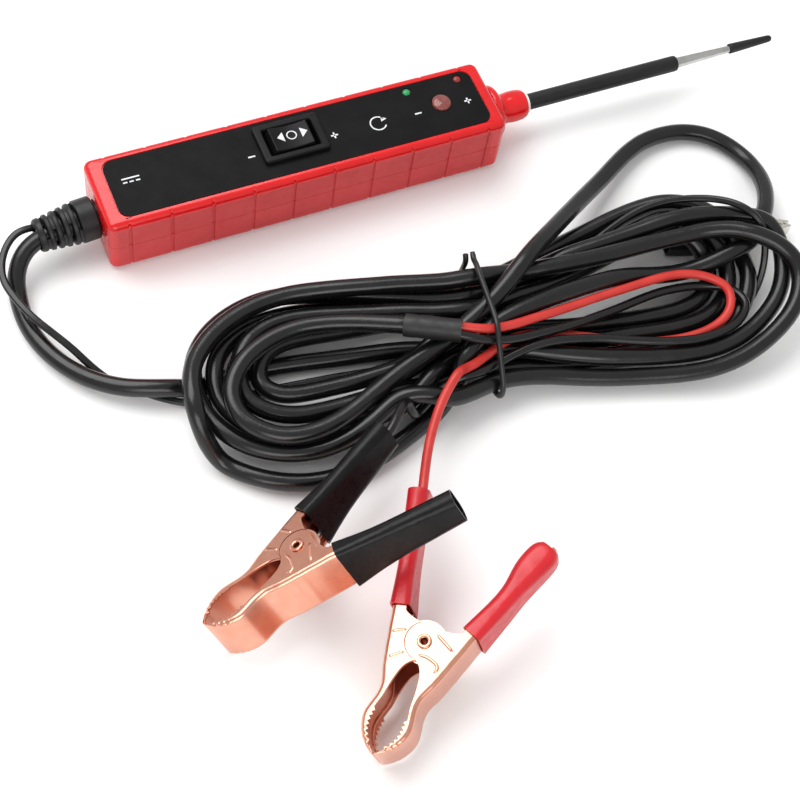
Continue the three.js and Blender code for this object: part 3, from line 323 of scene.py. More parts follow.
class Finish:
    """A procedural material whose patterns are laid in millimetres."""

    def __init__(self, name, rough, metal=0.0, **inputs):
        self.material = bpy.data.materials.new(name)
        self.material.use_nodes = True
        self.tree = self.material.node_tree
        self.skin = self.tree.nodes["Principled BSDF"]
        self.skin.inputs["Roughness"].default_value = rough
        self.skin.inputs["Metallic"].default_value = metal
        for key, value in inputs.items():
            self.skin.inputs[key.replace("_", " ")].default_value = value
        self.place = self.node("ShaderNodeTexCoord").outputs["Object"]
        self.normal = None

    def node(self, kind, **settings):
        made = self.tree.nodes.new(kind)
        for key, value in settings.items():
            setattr(made, key, value)
        return made

    def link(self, a, b):
        self.tree.links.new(a, b)

    def noise(self, size, detail=2.0, stretch=(1, 1, 1), rough=0.5):
        """Smooth noise whose patches are about size across, longer where stretch is above 1."""
        scale = self.node("ShaderNodeMapping")
        scale.inputs["Scale"].default_value = [1 / (size * MM * s) for s in stretch]
        self.link(self.place, scale.inputs["Vector"])
        noise = self.node("ShaderNodeTexNoise")
        noise.inputs["Scale"].default_value = 1
        noise.inputs["Detail"].default_value = detail
        noise.inputs["Roughness"].default_value = rough
        self.link(scale.outputs["Vector"], noise.inputs["Vector"])
        return noise.outputs["Fac"]

    def remap(self, value, a, b, low, high):
        ramp = self.node("ShaderNodeMapRange")
        for key, number in zip(("From Min", "From Max", "To Min", "To Max"), (a, b, low, high)):
            ramp.inputs[key].default_value = number
        self.link(value, ramp.inputs["Value"])
        return ramp.outputs["Result"]

    def mix(self, factor, a, b, kind="RGBA"):
        mix = self.node("ShaderNodeMix", data_type=kind)
        slots = (6, 7, 2) if kind == "RGBA" else (2, 3, 0)
        for slot, value in ((slots[0], a), (slots[1], b)):
            if hasattr(value, "node"):
                self.link(value, mix.inputs[slot])
            else:
                mix.inputs[slot].default_value = value
        if hasattr(factor, "node"):
            self.link(factor, mix.inputs[0])
        else:
            mix.inputs[0].default_value = factor
        return mix.outputs[slots[2]]

    def colour(self, value):
        self.link(value, self.skin.inputs["Base Color"])

    def roughness(self, value):
        self.link(value, self.skin.inputs["Roughness"])

    def bump(self, height, depth, strength=1.0):
        """Raises the surface by height times depth millimetres, on top of earlier bumps."""
        bump = self.node("ShaderNodeBump")
        bump.inputs["Distance"].default_value = depth * MM
        if hasattr(strength, "node"):
            self.link(strength, bump.inputs["Strength"])
        else:
            bump.inputs["Strength"].default_value = strength
        self.link(height, bump.inputs["Height"])
        if self.normal is not None:
            self.link(self.normal, bump.inputs["Normal"])
        self.normal = bump.outputs["Normal"]
        self.link(self.normal, self.skin.inputs["Normal"])

    def edges(self, low, high):
        """0 on flats, 1 on outward edges."""
        return self.remap(self.node("ShaderNodeNewGeometry").outputs["Pointiness"], low, high, 0, 1)


def plastic(name, dark, light, rough, spread=0.06, grain=0.35, depth=0.012, cloud=9.0, wave=0.0, **inputs):
    """A moulded or extruded plastic: clouded colour, fine grain, uneven gloss."""
    made = Finish(name, rough, **inputs)
    clouds = made.remap(made.noise(cloud, 3), 0.32, 0.68, 0, 1)
    made.colour(made.mix(clouds, srgb(*dark), srgb(*light)))
    made.roughness(made.remap(made.noise(cloud * 0.4, 4), 0.3, 0.7, rough - spread, rough + spread))
    if wave:
        made.bump(made.noise(4.5, 2), wave)
    made.bump(made.noise(grain, 2), depth)
    return made.material


def metal(name, dull, bright, rough, grain=0.25, depth=0.006, stretch=(1, 1, 1), wear=0.5, wave=0.0,
          spread=0.08):
    """A plated or drawn metal: fine directional marks, cloudy plating, brighter rubbed edges."""
    made = Finish(name, rough, 1.0)
    clouds = made.remap(made.noise(5, 4, rough=0.6), 0.3, 0.7, 0, 1)
    base = made.mix(clouds, srgb(*dull), srgb(*bright))
    rubbed = [min(255, c + 40) for c in bright]
    strength = made.mix(made.edges(0.52, 0.6), 0.0, wear, "FLOAT")
    made.colour(made.mix(strength, base, srgb(*rubbed)))
    made.roughness(made.remap(made.noise(1.4, 5, stretch), 0.3, 0.7, rough - spread, rough + spread))
    if wave:
        made.bump(made.noise(6, 2), wave)
    made.bump(made.noise(grain, 3, stretch), depth)
    return made.material


PANEL_LIMITS = (("Z", 21.8, 22.6), ("Z", 2.4, 1.8), ("X", 69.4, 70.2), ("X", -71.8, -72.6))


def case_finish():
    """Red case: polished rim and ends, and side panels whose fine moulded grain scatters the light. The side
    panels' red is paled towards pink with painted sheen.
    """
    made = Finish("red_case", 0.2)
    split = made.node("ShaderNodeSeparateXYZ")
    made.link(made.place, split.inputs["Vector"])
    polished = None
    for axis, panel, edge in PANEL_LIMITS:
        beyond = made.remap(split.outputs[axis], panel * MM, edge * MM, 0, 1)
        if polished is not None:
            either = made.node("ShaderNodeMath", operation="MAXIMUM")
            made.link(polished, either.inputs[0])
            made.link(beyond, either.inputs[1])
            beyond = either.outputs[0]
        polished = beyond
    clouds = made.remap(made.noise(14, 3), 0.3, 0.7, 0, 1)
    # Side panels: the case's red paled towards pink by painted sheen; the rim keeps the plain red.
    sides = made.mix(clouds, srgb(184, 40, 42), srgb(194, 48, 50))
    rim = made.mix(clouds, srgb(200, 10, 14), srgb(210, 15, 19))
    made.colour(made.mix(polished, sides, rim))
    scuff = made.remap(made.noise(3, 5), 0.35, 0.7, -0.05, 0.08)
    add = made.node("ShaderNodeMath", operation="ADD")
    made.link(made.mix(polished, 0.5, 0.2, "FLOAT"), add.inputs[0])
    made.link(scuff, add.inputs[1])
    made.roughness(add.outputs[0])
    made.bump(made.noise(0.45, 2), 0.05, made.mix(polished, 0.9, 0.08, "FLOAT"))
    return made.material


def sleeving(name, dark, light, rough, **inputs):
    """Soft dipped sleeving: a smooth skin with slow dents."""
    return plastic(name, dark, light, rough, spread=0.07, grain=0.6, depth=0.01, cloud=7, wave=0.2, **inputs)


def board_finish():
    """Green board with slightly raised tracks."""
    made = Finish("board", 0.45)
    tracks = made.remap(made.noise(1.6, 1, (3, 0.7, 1)), 0.49, 0.51, 0, 1)
    made.colour(made.mix(tracks, srgb(28, 84, 48), srgb(44, 112, 62)))
    made.bump(tracks, 0.03)
    return made.material


def glassy(name, tint, rough, clear):
    """Tinted clear plastic or glass that lets the share clear of the light through."""
    made = Finish(name, rough, IOR=1.47, Transmission_Weight=clear)
    clouds = made.remap(made.noise(2, 2), 0.3, 0.7, 0, 1)
    deep = [c * 0.85 for c in tint]
    made.colour(made.mix(clouds, srgb(*deep), srgb(*tint)))
    made.roughness(made.remap(made.noise(1.1, 3), 0.3, 0.7, rough * 0.7, rough * 1.3))
    made.bump(made.noise(0.8, 2), 0.008)
    return made.material


RED_CASE = case_finish()
RED_GLOSS = plastic("red_gloss", (200, 12, 18), (216, 20, 24), 0.16, spread=0.04, depth=0.004, grain=0.8)
LABEL_BLACK = plastic("label_black", (19, 19, 20), (24, 24, 25), 0.45, spread=0.05, grain=0.18,
                      depth=0.008, Specular_IOR_Level=0.06)
INK = plastic("white_ink", (196, 198, 200), (228, 229, 230), 0.5, spread=0.05, grain=0.15, depth=0.006,
              cloud=1.5)
SWITCH_BLACK = plastic("switch_black", (14, 14, 15), (20, 20, 21), 0.34, grain=0.25, depth=0.008,
                       Specular_IOR_Level=0.14)
MOULD_BLACK = plastic("moulded_black", (14, 14, 15), (21, 21, 22), 0.44, spread=0.08, grain=0.4,
                      depth=0.02, Specular_IOR_Level=0.4)
CORD_BLACK = plastic("cord_black", (13, 13, 14), (19, 19, 20), 0.24, grain=1.1, depth=0.02, cloud=12,
                     wave=0.06, Specular_IOR_Level=0.45)
CORD_RED = plastic("cord_red", (186, 42, 36), (200, 54, 46), 0.38, grain=0.9, depth=0.015, cloud=8,
                   wave=0.04)
TIE_BLACK = plastic("tie_black", (18, 18, 19), (26, 26, 28), 0.36, grain=0.5, depth=0.02, cloud=4)
SLEEVE_BLACK = sleeving("sleeve_black", (13, 13, 14), (20, 20, 21), 0.3, Specular_IOR_Level=0.2)
SLEEVE_RED = sleeving("sleeve_red", (190, 18, 29), (203, 27, 38), 0.34)
SHRINK_BLACK = plastic("shrink_black", (20, 20, 21), (28, 28, 29), 0.5, grain=0.7, depth=0.03, cloud=5,
                       wave=0.2)
LINER_WHITE = plastic("liner_white", (218, 216, 208), (236, 234, 228), 0.45, grain=0.3, depth=0.01,
                      cloud=3)
COPPER = metal("copper_plate", (222, 156, 132), (229, 167, 144), 0.25, grain=0.5, depth=0.0015,
               spread=0.02, wear=0.35)
NICKEL = metal("nickel_plate", (196, 192, 182), (222, 219, 210), 0.26, wave=0.03)
STEEL = metal("spring_steel", (150, 152, 154), (186, 188, 190), 0.28, stretch=(1, 1, 4))
ZINC = metal("zinc_steel", (176, 180, 184), (206, 208, 210), 0.3)
BRASS = metal("contact_brass", (196, 160, 84), (222, 190, 112), 0.3)
ROD_STEEL = metal("probe_steel", (178, 178, 176), (208, 207, 204), 0.2, grain=0.3, stretch=(9, 1, 1))
LENS_RED = glassy("lens_red", (196, 112, 106), 0.14, 0.6)
LED_GREEN = glassy("led_green", (50, 190, 112), 0.18, 0.35)
LED_RED = glassy("led_red", (176, 62, 58), 0.2, 0.35)
BULB_GLASS = glassy("bulb_glass", (240, 226, 204), 0.08, 0.6)
BOARD = board_finish()

# ---- case ----

CASE_X, CASE_Y, CASE_TOP = 75.0, 15.5, 25.0
RIM, CORNER, WALL, PART, SEAM = 2.4, 3.0, 2.2, 12.5, 0.1
GROOVES, GROOVE_PITCH, GROOVE_DEPTH, GROOVE_FADE = 10, 15.0, 0.45, 1.7
GROOVE_PROFILE = ((-0.62, 0), (-0.5, 0.35), (-0.36, 1), (0.36, 1), (0.5, 0.35), (0.62, 0))
LABEL_X, LABEL_HALF, LABEL_WIDE, LABEL_CORNER, RECESS_Z = 0.5, 70.0, 12.35, 4.0, 24.5


def case_outline(inset=0.0, half_x=CASE_X, half_y=CASE_Y, corner=CORNER, cx=0.0, nicks=True):
    """The case's outline, drawn in by inset, with the grip grooves cut into its long sides."""
    x, y = half_x - inset, half_y - inset
    radius = max(corner - inset, 0.5)
    depth = GROOVE_DEPTH * max(0.0, 1 - inset / GROOVE_FADE) if nicks else 0.0
    centres = [(i - (GROOVES - 1) / 2) * GROOVE_PITCH for i in range(GROOVES)]
    points = []
    for side, start in ((1, 0), (-1, 180)):
        points += arc(cx + side * (x - radius), side * (y - radius), radius, start, start + 90, 8)
        for centre in centres if side < 0 else centres[::-1]:
            for across, deep in GROOVE_PROFILE:
                points.append((centre - side * across, side * (y - deep * depth)))
        points += arc(cx - side * (x - radius), side * (y - radius), radius, start + 90, start + 180, 8)
    return points


def case_half(upper):
    """One half of the case as a closed shell: cavity, seam, side, rounded rim and flat."""
    def flip(z):
        return z if upper else CASE_TOP - z
    ceiling = CASE_TOP - WALL
    seam = PART + SEAM * 0.6
    inside = dict(half_x=CASE_X - WALL, half_y=CASE_Y - WALL, corner=1.5, nicks=False)
    rows = [
        flat(case_outline(0.6, **inside), flip(ceiling)),
        flat(case_outline(0.18, **inside), flip(ceiling - 0.18)),
        flat(case_outline(0, **inside), flip(ceiling - 0.6)),
        flat(case_outline(0, **inside), flip(PART + SEAM)),
        flat(case_outline(0.3, nicks=False), flip(seam)),
        flat(case_outline(0.06), flip(seam)),
        flat(case_outline(0), flip(seam + 0.08)),
    ]
    for a in np.linspace(0, PI / 2, 9):
        level = CASE_TOP - RIM + RIM * math.sin(a)
        rows.append(flat(case_outline(RIM * (1 - math.cos(a))), flip(level)))
    if upper:
        recess = dict(half_x=LABEL_HALF + 0.15, half_y=LABEL_WIDE + 0.12, corner=LABEL_CORNER, cx=LABEL_X,
                      nicks=False)
        rows.append(flat(case_outline(-0.15, **recess), CASE_TOP))
        rows.append(flat(case_outline(0, **recess), CASE_TOP - 0.12))
        rows.append(flat(case_outline(0, **recess), RECESS_Z))
    return skin(rows)


SWITCH_X, SWITCH_Y = -3.0, 1.4
LENS = (55.2, 0.7, 3.5)
GREEN_LED = (44.9, 9.2, 1.5)
RED_LED = (65.1, 9.3, 1.5)
SCREWS = [(i * 70.2, j * 10.4) for i in (-1, 1) for j in (-1, 1)]
POST_RADIUS, POST_TOP, HEAD_RADIUS, SCREW_RADIUS = 3.2, 12.3, 2.4, 1.3
GLAND_BORE, RELIEF_BORE, RELIEF_ASIDE = 6.4, 6.1, 0.1


def face_cutters():
    """The openings that the top wall and the label share: the switch and the three lamps."""
    cutters = [raw("cut", block(soft_rectangle(11, 7.2, 0.8, SWITCH_X, SWITCH_Y, 4), 20, 30))]
    cutters += [raw("cut", disc(x, y, 20, 30, r + 0.2)) for x, y, r in (LENS, GREEN_LED, RED_LED)]
    return cutters


def end_cutters():
    """The bores in the end walls, for the gland and the strain relief."""
    cutters = []
    for start, bore, aside in ((70, GLAND_BORE, 0), (-80, RELIEF_BORE, RELIEF_ASIDE)):
        surface = skin(turned([(start, bore), (start + 10, bore)], 48))
        surface.points = [(x, y + aside, z + PART) for x, y, z in surface.points]
        cutters.append(raw("cut", surface))
    return cutters


def build_case():
    upper = carve(raw("upper_case", case_half(True)), *face_cutters(), *end_cutters())
    dress(upper, RED_CASE, "handset", "upper_shell", "red_case", sharp=30)
    lower = carve(raw("lower_case", case_half(False)), *end_cutters())
    for x, y in SCREWS:
        post = block(arc(x, y, POST_RADIUS, 0, 350, 35), 1, POST_TOP)
        carve(lower, raw("post", post), operation="UNION")
        carve(lower, raw("cut", disc(x, y, -1, 2.2, HEAD_RADIUS)),
              raw("cut", disc(x, y, -1, 14, SCREW_RADIUS, 24)))
    dress(lower, RED_CASE, "handset", "lower_shell", "red_case", sharp=30)


def build_label():
    """The black face panel, with a softened upper edge."""
    rows = []
    for inset, rise in ((0, 0), (0, 0.32), (0.05, 0.37), (0.15, 0.4)):
        outline = soft_rectangle(LABEL_HALF - 0.15 - inset, LABEL_WIDE - 0.1 - inset, LABEL_CORNER - inset,
                                 LABEL_X, 0, 12)
        rows.append(flat(outline, RECESS_Z + rise))
    label = carve(raw("label_panel", skin(rows)), *face_cutters())
    dress(label, LABEL_BLACK, "handset", "face_label", "face_print", sharp=30)


# ---- marks ----


MINUS_X, PLUS_X, POLE_Y, POLE_LONG, POLE_WIDE = (-18.6, 45.2), (12.6, 64.9), -1.2, 2.6, 0.6
DIRECT_X = -61.4


def ink_level(x):
    return RECESS_Z + 0.4


def lay(surface, outline, level=ink_level, rise=0.04):
    """A thin slab of ink. level gives the height of the face it lies on at x."""
    surface.rows([[(x, y, level(x) + z) for x, y in outline] for z in (-0.04, rise)])


def bar_mark(surface, x, y, long, wide):
    lay(surface, [(x + i * long / 2, y + j * wide / 2) for i, j in ((1, 1), (-1, 1), (-1, -1), (1, -1))])


def ring_mark(surface, x, y, radius, wide, start=0, end=360, **face):
    """A ring, or part of one, in short slabs."""
    steps = max(3, round(abs(end - start) / 15))
    outer = arc(x, y, radius + wide / 2, start, end, steps)
    inner = arc(x, y, radius - wide / 2, start, end, steps)
    for i in range(steps):
        lay(surface, [outer[i], outer[i + 1], inner[i + 1], inner[i]], **face)


def build_marks():
    """Plain signs: poles beside the switch and lamps, direct current, a self-resetting breaker."""
    marks = Surface()
    for x in MINUS_X + PLUS_X:
        bar_mark(marks, x, POLE_Y, POLE_LONG, POLE_WIDE)
    for x in PLUS_X:
        bar_mark(marks, x, POLE_Y, POLE_WIDE, POLE_LONG)
    bar_mark(marks, DIRECT_X, 3.2, 6.4, 0.55)
    for i in (-1, 0, 1):
        bar_mark(marks, DIRECT_X + 2.3 * i, 1.6, 1.5, 0.55)
    ring_mark(marks, 29.6, -1, 2.9, 0.5, 30, 330)
    lay(marks, [(31.4, 1.6), (33.2, 0.2), (31, -0.6)])
    piece("label_marks", marks, INK, slot="white_liner", sharp=30)


# ---- switch ----

ROCKER_PIVOT, PIN_RADIUS = 24.0, 1.06
ROCKER_HALF, ROCKER_TOP_HALF, ROCKER_TOP, ROCKER_WIDE = 8.3, 7.1, 4.0, 10.2
BEZEL, WINDOW, WINDOW_LIP, BOX = (12.2, 8.25, 1.3), (9.2, 5.7, 0.5), (9.7, 6.2, 0.8), (10.8, 7, 0.6)
BEZEL_FOOT, BEZEL_SIDE, BEZEL_ROUND, BOX_FOOT = 24.95, 26.3, 0.7, 10.5


def build_switch():
    """The bezel and the box below it, as one hollow moulding."""
    def ring(half_x, half_y, radius, z, inset=0.0):
        outline = soft_rectangle(half_x - inset, half_y - inset, radius - inset, SWITCH_X, SWITCH_Y, 6)
        return flat(outline, z)
    rows = [ring(*WINDOW, 16), ring(*WINDOW, BEZEL_SIDE), ring(*WINDOW, 26.7, -0.1), ring(*WINDOW_LIP, 27)]
    for a in np.linspace(0, PI / 2, 6):
        inset = BEZEL_ROUND * (1 - math.sin(a))
        rows.append(ring(*BEZEL, BEZEL_SIDE + BEZEL_ROUND * math.cos(a), inset))
    rows += [ring(*BEZEL, BEZEL_FOOT), ring(*BOX, BEZEL_FOOT), ring(*BOX, BOX_FOOT + 0.1)]
    rows.append(ring(10.5, 6.7, 0.6, BOX_FOOT))
    body = raw("switch_bezel", skin(rows))
    dress(body, SWITCH_BLACK, "handset", "switch_body", "black_moulded", sharp=30)


def rocker_top(x):
    """The height of the rocker's dished face at x."""
    t = (x - SWITCH_X + ROCKER_TOP_HALF) / (2 * ROCKER_TOP_HALF)
    return ROCKER_PIVOT + ROCKER_TOP - 2.8 * t * (1 - t)


def build_rocker():
    """The paddle with its pin hole, and a ring and two arrow heads printed on its dished face."""
    half, top = ROCKER_HALF, ROCKER_TOP_HALF
    face = [(x, rocker_top(SWITCH_X + x) - ROCKER_PIVOT) for x in np.linspace(-top, top, 17)]
    belly = [(half * math.cos(a), -2 - 3.4 * math.sin(a)) for a in np.linspace(0, PI, 17)]
    outline = [(-half, 0.5)] + face + [(half, 0.5)] + belly
    wide = ROCKER_WIDE / 2
    rows = [[(SWITCH_X + x, SWITCH_Y + y, ROCKER_PIVOT + z) for x, z in outline] for y in (-wide, wide)]
    rocker = raw("rocker_paddle", skin(rows))
    hole = [[(SWITCH_X + PIN_RADIUS * math.cos(a), SWITCH_Y + y, ROCKER_PIVOT + PIN_RADIUS * math.sin(a))
             for a in circle(24)] for y in (-9, 9)]
    carve(rocker, raw("cut", skin(hole)))
    dress(rocker, SWITCH_BLACK, "rocker", "rocker_button", "black_moulded", sharp=38, bevel=0.35)
    marks = Surface()
    middle = SWITCH_Y + 0.4
    ring_mark(marks, SWITCH_X + 0.3, middle, 1.7, 0.4, level=rocker_top, rise=0.05)
    for x, way in ((SWITCH_X - 3.9, -1), (SWITCH_X + 5.0, 1)):
        point, base = x + way * 1.2, x - way * 1.2
        lay(marks, [(point, middle), (base, middle + 2.1), (base, middle - 2.1)], rocker_top, 0.05)
    piece("rocker_marks", marks, INK, "rocker", slot="white_liner", sharp=30)


# ---- lamps ----


def dome_rows(x, y, radius, low, side, crown, hollow=0.0):
    """A lamp body: a straight side and a low dome, with a pocket from below if hollow."""
    line = [(0.01, low + hollow)]
    if hollow:
        line += [(radius - 0.8, low + hollow), (radius - 0.8, low)]
    line += [(radius, low), (radius, side)]
    line += [(radius * math.cos(a), side + crown * math.sin(a)) for a in np.linspace(0.1, PI / 2 - 0.02, 12)]
    return [[(x + r * math.cos(a), y + r * math.sin(a), z) for a in circle(48)] for r, z in line]


def build_lamps():
    """The round lens with its bulb, and the two indicator lamps on their legs."""
    piece("lens_dome", skin(dome_rows(*LENS, 22.9, 25.2, 1.2, 1.7)), LENS_RED, node="lamp_lens",
          slot="lamp_red", sharp=45)
    piece("bulb_envelope", skin(dome_rows(LENS[0], LENS[1], 2.4, 17.3, 22.2, 1.9)), BULB_GLASS,
          node="lamp_bulb", slot="lamp_glass", sharp=45)
    for name, node, (x, y, radius), finish, slot in (
            ("green_led_dome", "green_led", GREEN_LED, LED_GREEN, "lamp_green"),
            ("red_led_dome", "red_led", RED_LED, LED_RED, "lamp_red")):
        led = skin(dome_rows(x, y, radius, 21, 24.4, 1))
        for dx in (-0.7, 0.7):
            led.rows(dome_rows(x + dx, y, 0.3, 17.3, 21.1, 0.1))
        piece(name, led, finish, node=node, slot=slot, sharp=45)


# ---- probe ----

AXIS = np.array([[1, 0, 0, 0], [0, 1, 0, 0], [0, 0, 1, PART], [0, 0, 0, 1]], float)
ROD, SLEEVING, SLEEVE_END, CAP_START, CAP_END = 2.15, 3.05, 156, 180, 199


def build_probe():
    """Gland, white liner, sleeved needle and the knurled cover on its tip, along the X axis."""
    gland = rounded_profile([
        (70, 3.25, 0), (70, 6, 0.3), (75.15, 6, 0), (75.15, 8.6, 0.2), (75.7, 9.9, 0.7), (77.6, 10, 0.9),
        (78.7, 9.1, 0.8), (79.6, 7.0, 0.8), (80.4, 5.7, 0.6), (82, 5.55, 0.8), (85.4, 5.95, 1.6),
        (88.6, 5.7, 1.2), (90.3, 5.1, 0.9), (90.6, 4.4, 0.3), (88.3, 4.35, 0), (88.3, 3.25, 0)])
    liner = rounded_profile([
        (88.2, 3.25, 0), (88.2, 4.1, 0), (91.6, 4.1, 0.25), (91.6, 3.2, 0.25), (88.2, 3.2, 0)])
    bore = ROD + 0.12
    sleeve = rounded_profile([
        (70.5, bore, 0), (70.5, SLEEVING, 0), (SLEEVE_END - 0.6, SLEEVING, 0.5), (SLEEVE_END - 0.1, 2.8, 0.2),
        (SLEEVE_END, bore, 0.1), (SLEEVE_END - 1, bore, 0), (70.6, bore, 0)])
    for name, profile, sides, finish, node, slot in (
            ("probe_collar", gland, 72, RED_GLOSS, "probe_gland", "red_case"),
            ("liner_ring", liner, 48, LINER_WHITE, "probe_liner", "white_liner"),
            ("probe_sleeving", sleeve, 48, MOULD_BLACK, "probe_sleeve", "black_sleeving")):
        piece(name, skin(turned(profile, sides), loop=True), finish, node=node, slot=slot,
              place=AXIS, sharp=40)
    rod = [(66, 0.05), (66, ROD), (SLEEVE_END, ROD), (157.2, 2.05), (166, 1.8), (CAP_START, 1.35),
           (188, 1.1), (195.6, 0.3), (196, 0.03)]
    piece("probe_needle", skin(turned(rod, 40)), ROD_STEEL, node="probe_rod", slot="zinc_steel",
          place=AXIS, sharp=40)

    def knurl(x, angle):
        ridge = 0.5 + 0.5 * math.cos(16 * angle)
        fade_in, fade_out = (x - CAP_START - 0.6) / 0.8, (CAP_END - 1.4 - x) / 0.8
        return 1 - 0.06 * ridge * min(1, max(0, fade_in)) * min(1, max(0, fade_out))
    outside = [(CAP_START, 1.85), (180.2, 1.95), (180.9, 1.95)]
    outside += [(x, 1.95 - (x - 181) * 0.034) for x in np.arange(181.4, 197.5, 1.6)]
    outside += [(197.6, 1.4), (198.4, 1.25), (198.9, 0.9), (CAP_END, 0.4), (CAP_END, 0.03)]
    inside = [(197, 0.03), (196.6, 0.5), (188, 1.26), (180.1, 1.56), (CAP_START, 1.62)]
    rows = turned(outside, 64, knurl) + turned(inside, 64)
    piece("tip_cover", skin(rows, loop=True), MOULD_BLACK, "tip_cap", "probe_tip_cap",
          "black_moulded", AXIS, sharp=50)


# ---- strain relief ----

RELIEF_TILT = 5.0
RELIEF_BASE, RELIEF_END, RELIEF_LONG = 7.7, 5.8, 22.0
RELIEF_RIBS, RELIEF_FIRST, SLOT_HALF, SLOT_SHOULDER, SLOT_DEPTH, BRIDGE_DEPTH = 5, 7.9, 0.5, 0.95, 2.7, 0.5


def build_relief():
    """A solid foot, then tapering ribs. Bridges join them, in turn at top and bottom and at the sides."""
    pitch = (RELIEF_LONG - 8) / RELIEF_RIBS
    slots = [RELIEF_FIRST + i * pitch for i in range(RELIEF_RIBS)]

    def radius(x, angle):
        rim = RELIEF_BASE + (RELIEF_END - RELIEF_BASE) * max(0.0, x - 7) / (RELIEF_LONG - 7)
        for i, slot in enumerate(slots):
            away = abs(x - slot)
            if away < SLOT_HALF:
                on_bridge = abs(math.cos(angle + PI / 2 * (i % 2))) >= 0.86
                deep = BRIDGE_DEPTH if on_bridge else SLOT_DEPTH
                return rim - deep * min(1, (SLOT_HALF - away) / 0.12)
            if away < SLOT_SHOULDER:
                rim -= 0.3 * ((SLOT_SHOULDER - away) / 0.33) ** 2
        if x > RELIEF_LONG - 0.6:
            rim -= (x - RELIEF_LONG + 0.6) * 0.8
        if x < 1.5:
            rim -= 0.45 * (1 - (x - 0.9) / 0.6) ** 2
        return rim
    stations = [0.9, 1.1, 1.3, 1.5, 3, 5, 6.6, RELIEF_LONG - 0.6, RELIEF_LONG - 0.3, RELIEF_LONG]
    for slot in slots:
        stations += [slot + side * away for away in (SLOT_SHOULDER, 0.72, 0.52, 0.38, 0) for side in (-1, 1)]
    rows = turned([(-6, 6.5), (-3.4, 6.5), (-3.4, 5.4), (0.9, 5.4)], 96)
    rows += turned([(x, 1) for x in sorted(set(stations))], 96, radius)
    turn = math.radians(180 + RELIEF_TILT)
    place = np.eye(4)
    place[:2, :2] = [[math.cos(turn), -math.sin(turn)], [math.sin(turn), math.cos(turn)]]
    place[:3, 3] = (-CASE_X, RELIEF_ASIDE, PART)
    relief = raw("strain_relief_boot", skin(rows), place)
    for aside, bore, start in ((1.3, 3.4, -8), (1.3, 4.1, RELIEF_LONG - 4), (-3.5, 1.6, -8)):
        cutter = skin(turned([(start, bore), (RELIEF_LONG + 2, bore)], 36))
        cutter.points = [(x, y + aside, z) for x, y, z in cutter.points]
        carve(relief, raw("cut", cutter, place))
    dress(relief, MOULD_BLACK, "handset", "strain_relief", "black_moulded", sharp=35)


# ---- cords ----


def relaxed(path, rounds=6):
    """Takes the last small kinks out of a line, keeping its ends."""
    path = path.copy()
    for _ in range(rounds):
        path[1:-1] += 0.25 * (path[:-2] + path[2:] - 2 * path[1:-1])
    return path


def twin_outline():
    """The section of the thin flat wire, for radius 1."""
    points = []
    for a in circle(28):
        wide = abs(math.cos(a))
        points.append((math.cos(a) * (0.86 + 0.14 * wide), math.sin(a) * (0.72 + 0.28 * wide)))
    return points


def build_cords():
    for node, name, radius, finish, slot, section in (
            ("main_cable", "cable_jacket", 3.1, CORD_BLACK, "black_pvc", None),
            ("ground_wire", "ground_wire_jacket", 1.3, CORD_BLACK, "black_pvc", twin_outline()),
            ("red_lead", "red_lead_jacket", 1.6, CORD_RED, "red_pvc", None),
            ("black_lead", "black_lead_jacket", 1.6, CORD_BLACK, "black_pvc", None)):
        path = relaxed(through(centreline(node, 6), 6))
        piece(name, tube(path, radius, 24, section), finish, node=node, slot=slot, sharp=60)
    tie = relaxed(through(centreline("cable_tie", 6), 3), 2)
    piece("bundle_tie", tube(tie, 1.0, 14), TIE_BLACK, node="cable_tie", slot="tie_wire", sharp=60)


SHRINK_IN, SHRINK_OUT = 3.5, 3.95


def build_shrink_tube():
    """The slightly wrinkled tube where the cable splits into the two leads."""
    path = through(centreline("shrink_sleeve", 24), 8)
    u, v = frames(path)

    def ring(i, radius):
        return [path[i] + radius * (math.cos(a) * u[i] + math.sin(a) * v[i]) for a in circle(36)]
    last, lip = len(path) - 1, (SHRINK_IN + SHRINK_OUT + 0.05) / 2
    rows = [ring(i, SHRINK_IN) for i in range(last, -1, -1)] + [ring(0, lip)]
    rows += [ring(i, SHRINK_OUT + 0.06 * math.sin(i * 1.7)) for i in range(last + 1)] + [ring(last, lip)]
    piece("shrink_tube", skin(rows, loop=True), SHRINK_BLACK, node="shrink_sleeve",
          slot="black_sleeving", sharp=60)


# ---- battery clips ----

CLIP_WIDE, SHEET, BEND = 16.0, 1.0, 1.6
HANDLE_X, HANDLE_Y, HANDLE_LONG, HANDLE_REACH, PINCH = -6.2, 11.6, 39.0, 2.3, 3.2
HANDLE_TURN = math.radians(162.4)
PLATE_COLUMNS, STATION_STEPS = 26, 10
EAR_STEP, EAR_HOLE, EAR_RIM, RIVET_HOLE = SHEET + 0.15, 6.27, 6.9, 1.7
TOOTH_PITCH, TOOTH_TALL, TEETH_START, TEETH_END = 1.5, 0.95, 24.0, 34.5
RIB_RADIUS, RIB_SUNK = 0.6, 0.12
SLEEVE_ROWS, SLEEVE_START, SLEEVE_WALL = 30, 1.6, 0.6


def clip_place(position, forward, normal):
    """A clip's own frame: +X from the rivet to the nose, +Z out of the top plate."""
    z = unit(normal)
    x = unit(forward - z * (forward @ z))
    place = np.eye(4)
    place[:3, 0], place[:3, 1], place[:3, 2], place[:3, 3] = x, np.cross(z, x), z, position
    return place


def on_handle(along, inward):
    """A point on the moving half's handle, along it from its root and inward from its middle line."""
    c, s = math.cos(HANDLE_TURN), math.sin(HANDLE_TURN)
    return HANDLE_X + c * along - s * inward, HANDLE_Y + s * along + c * inward


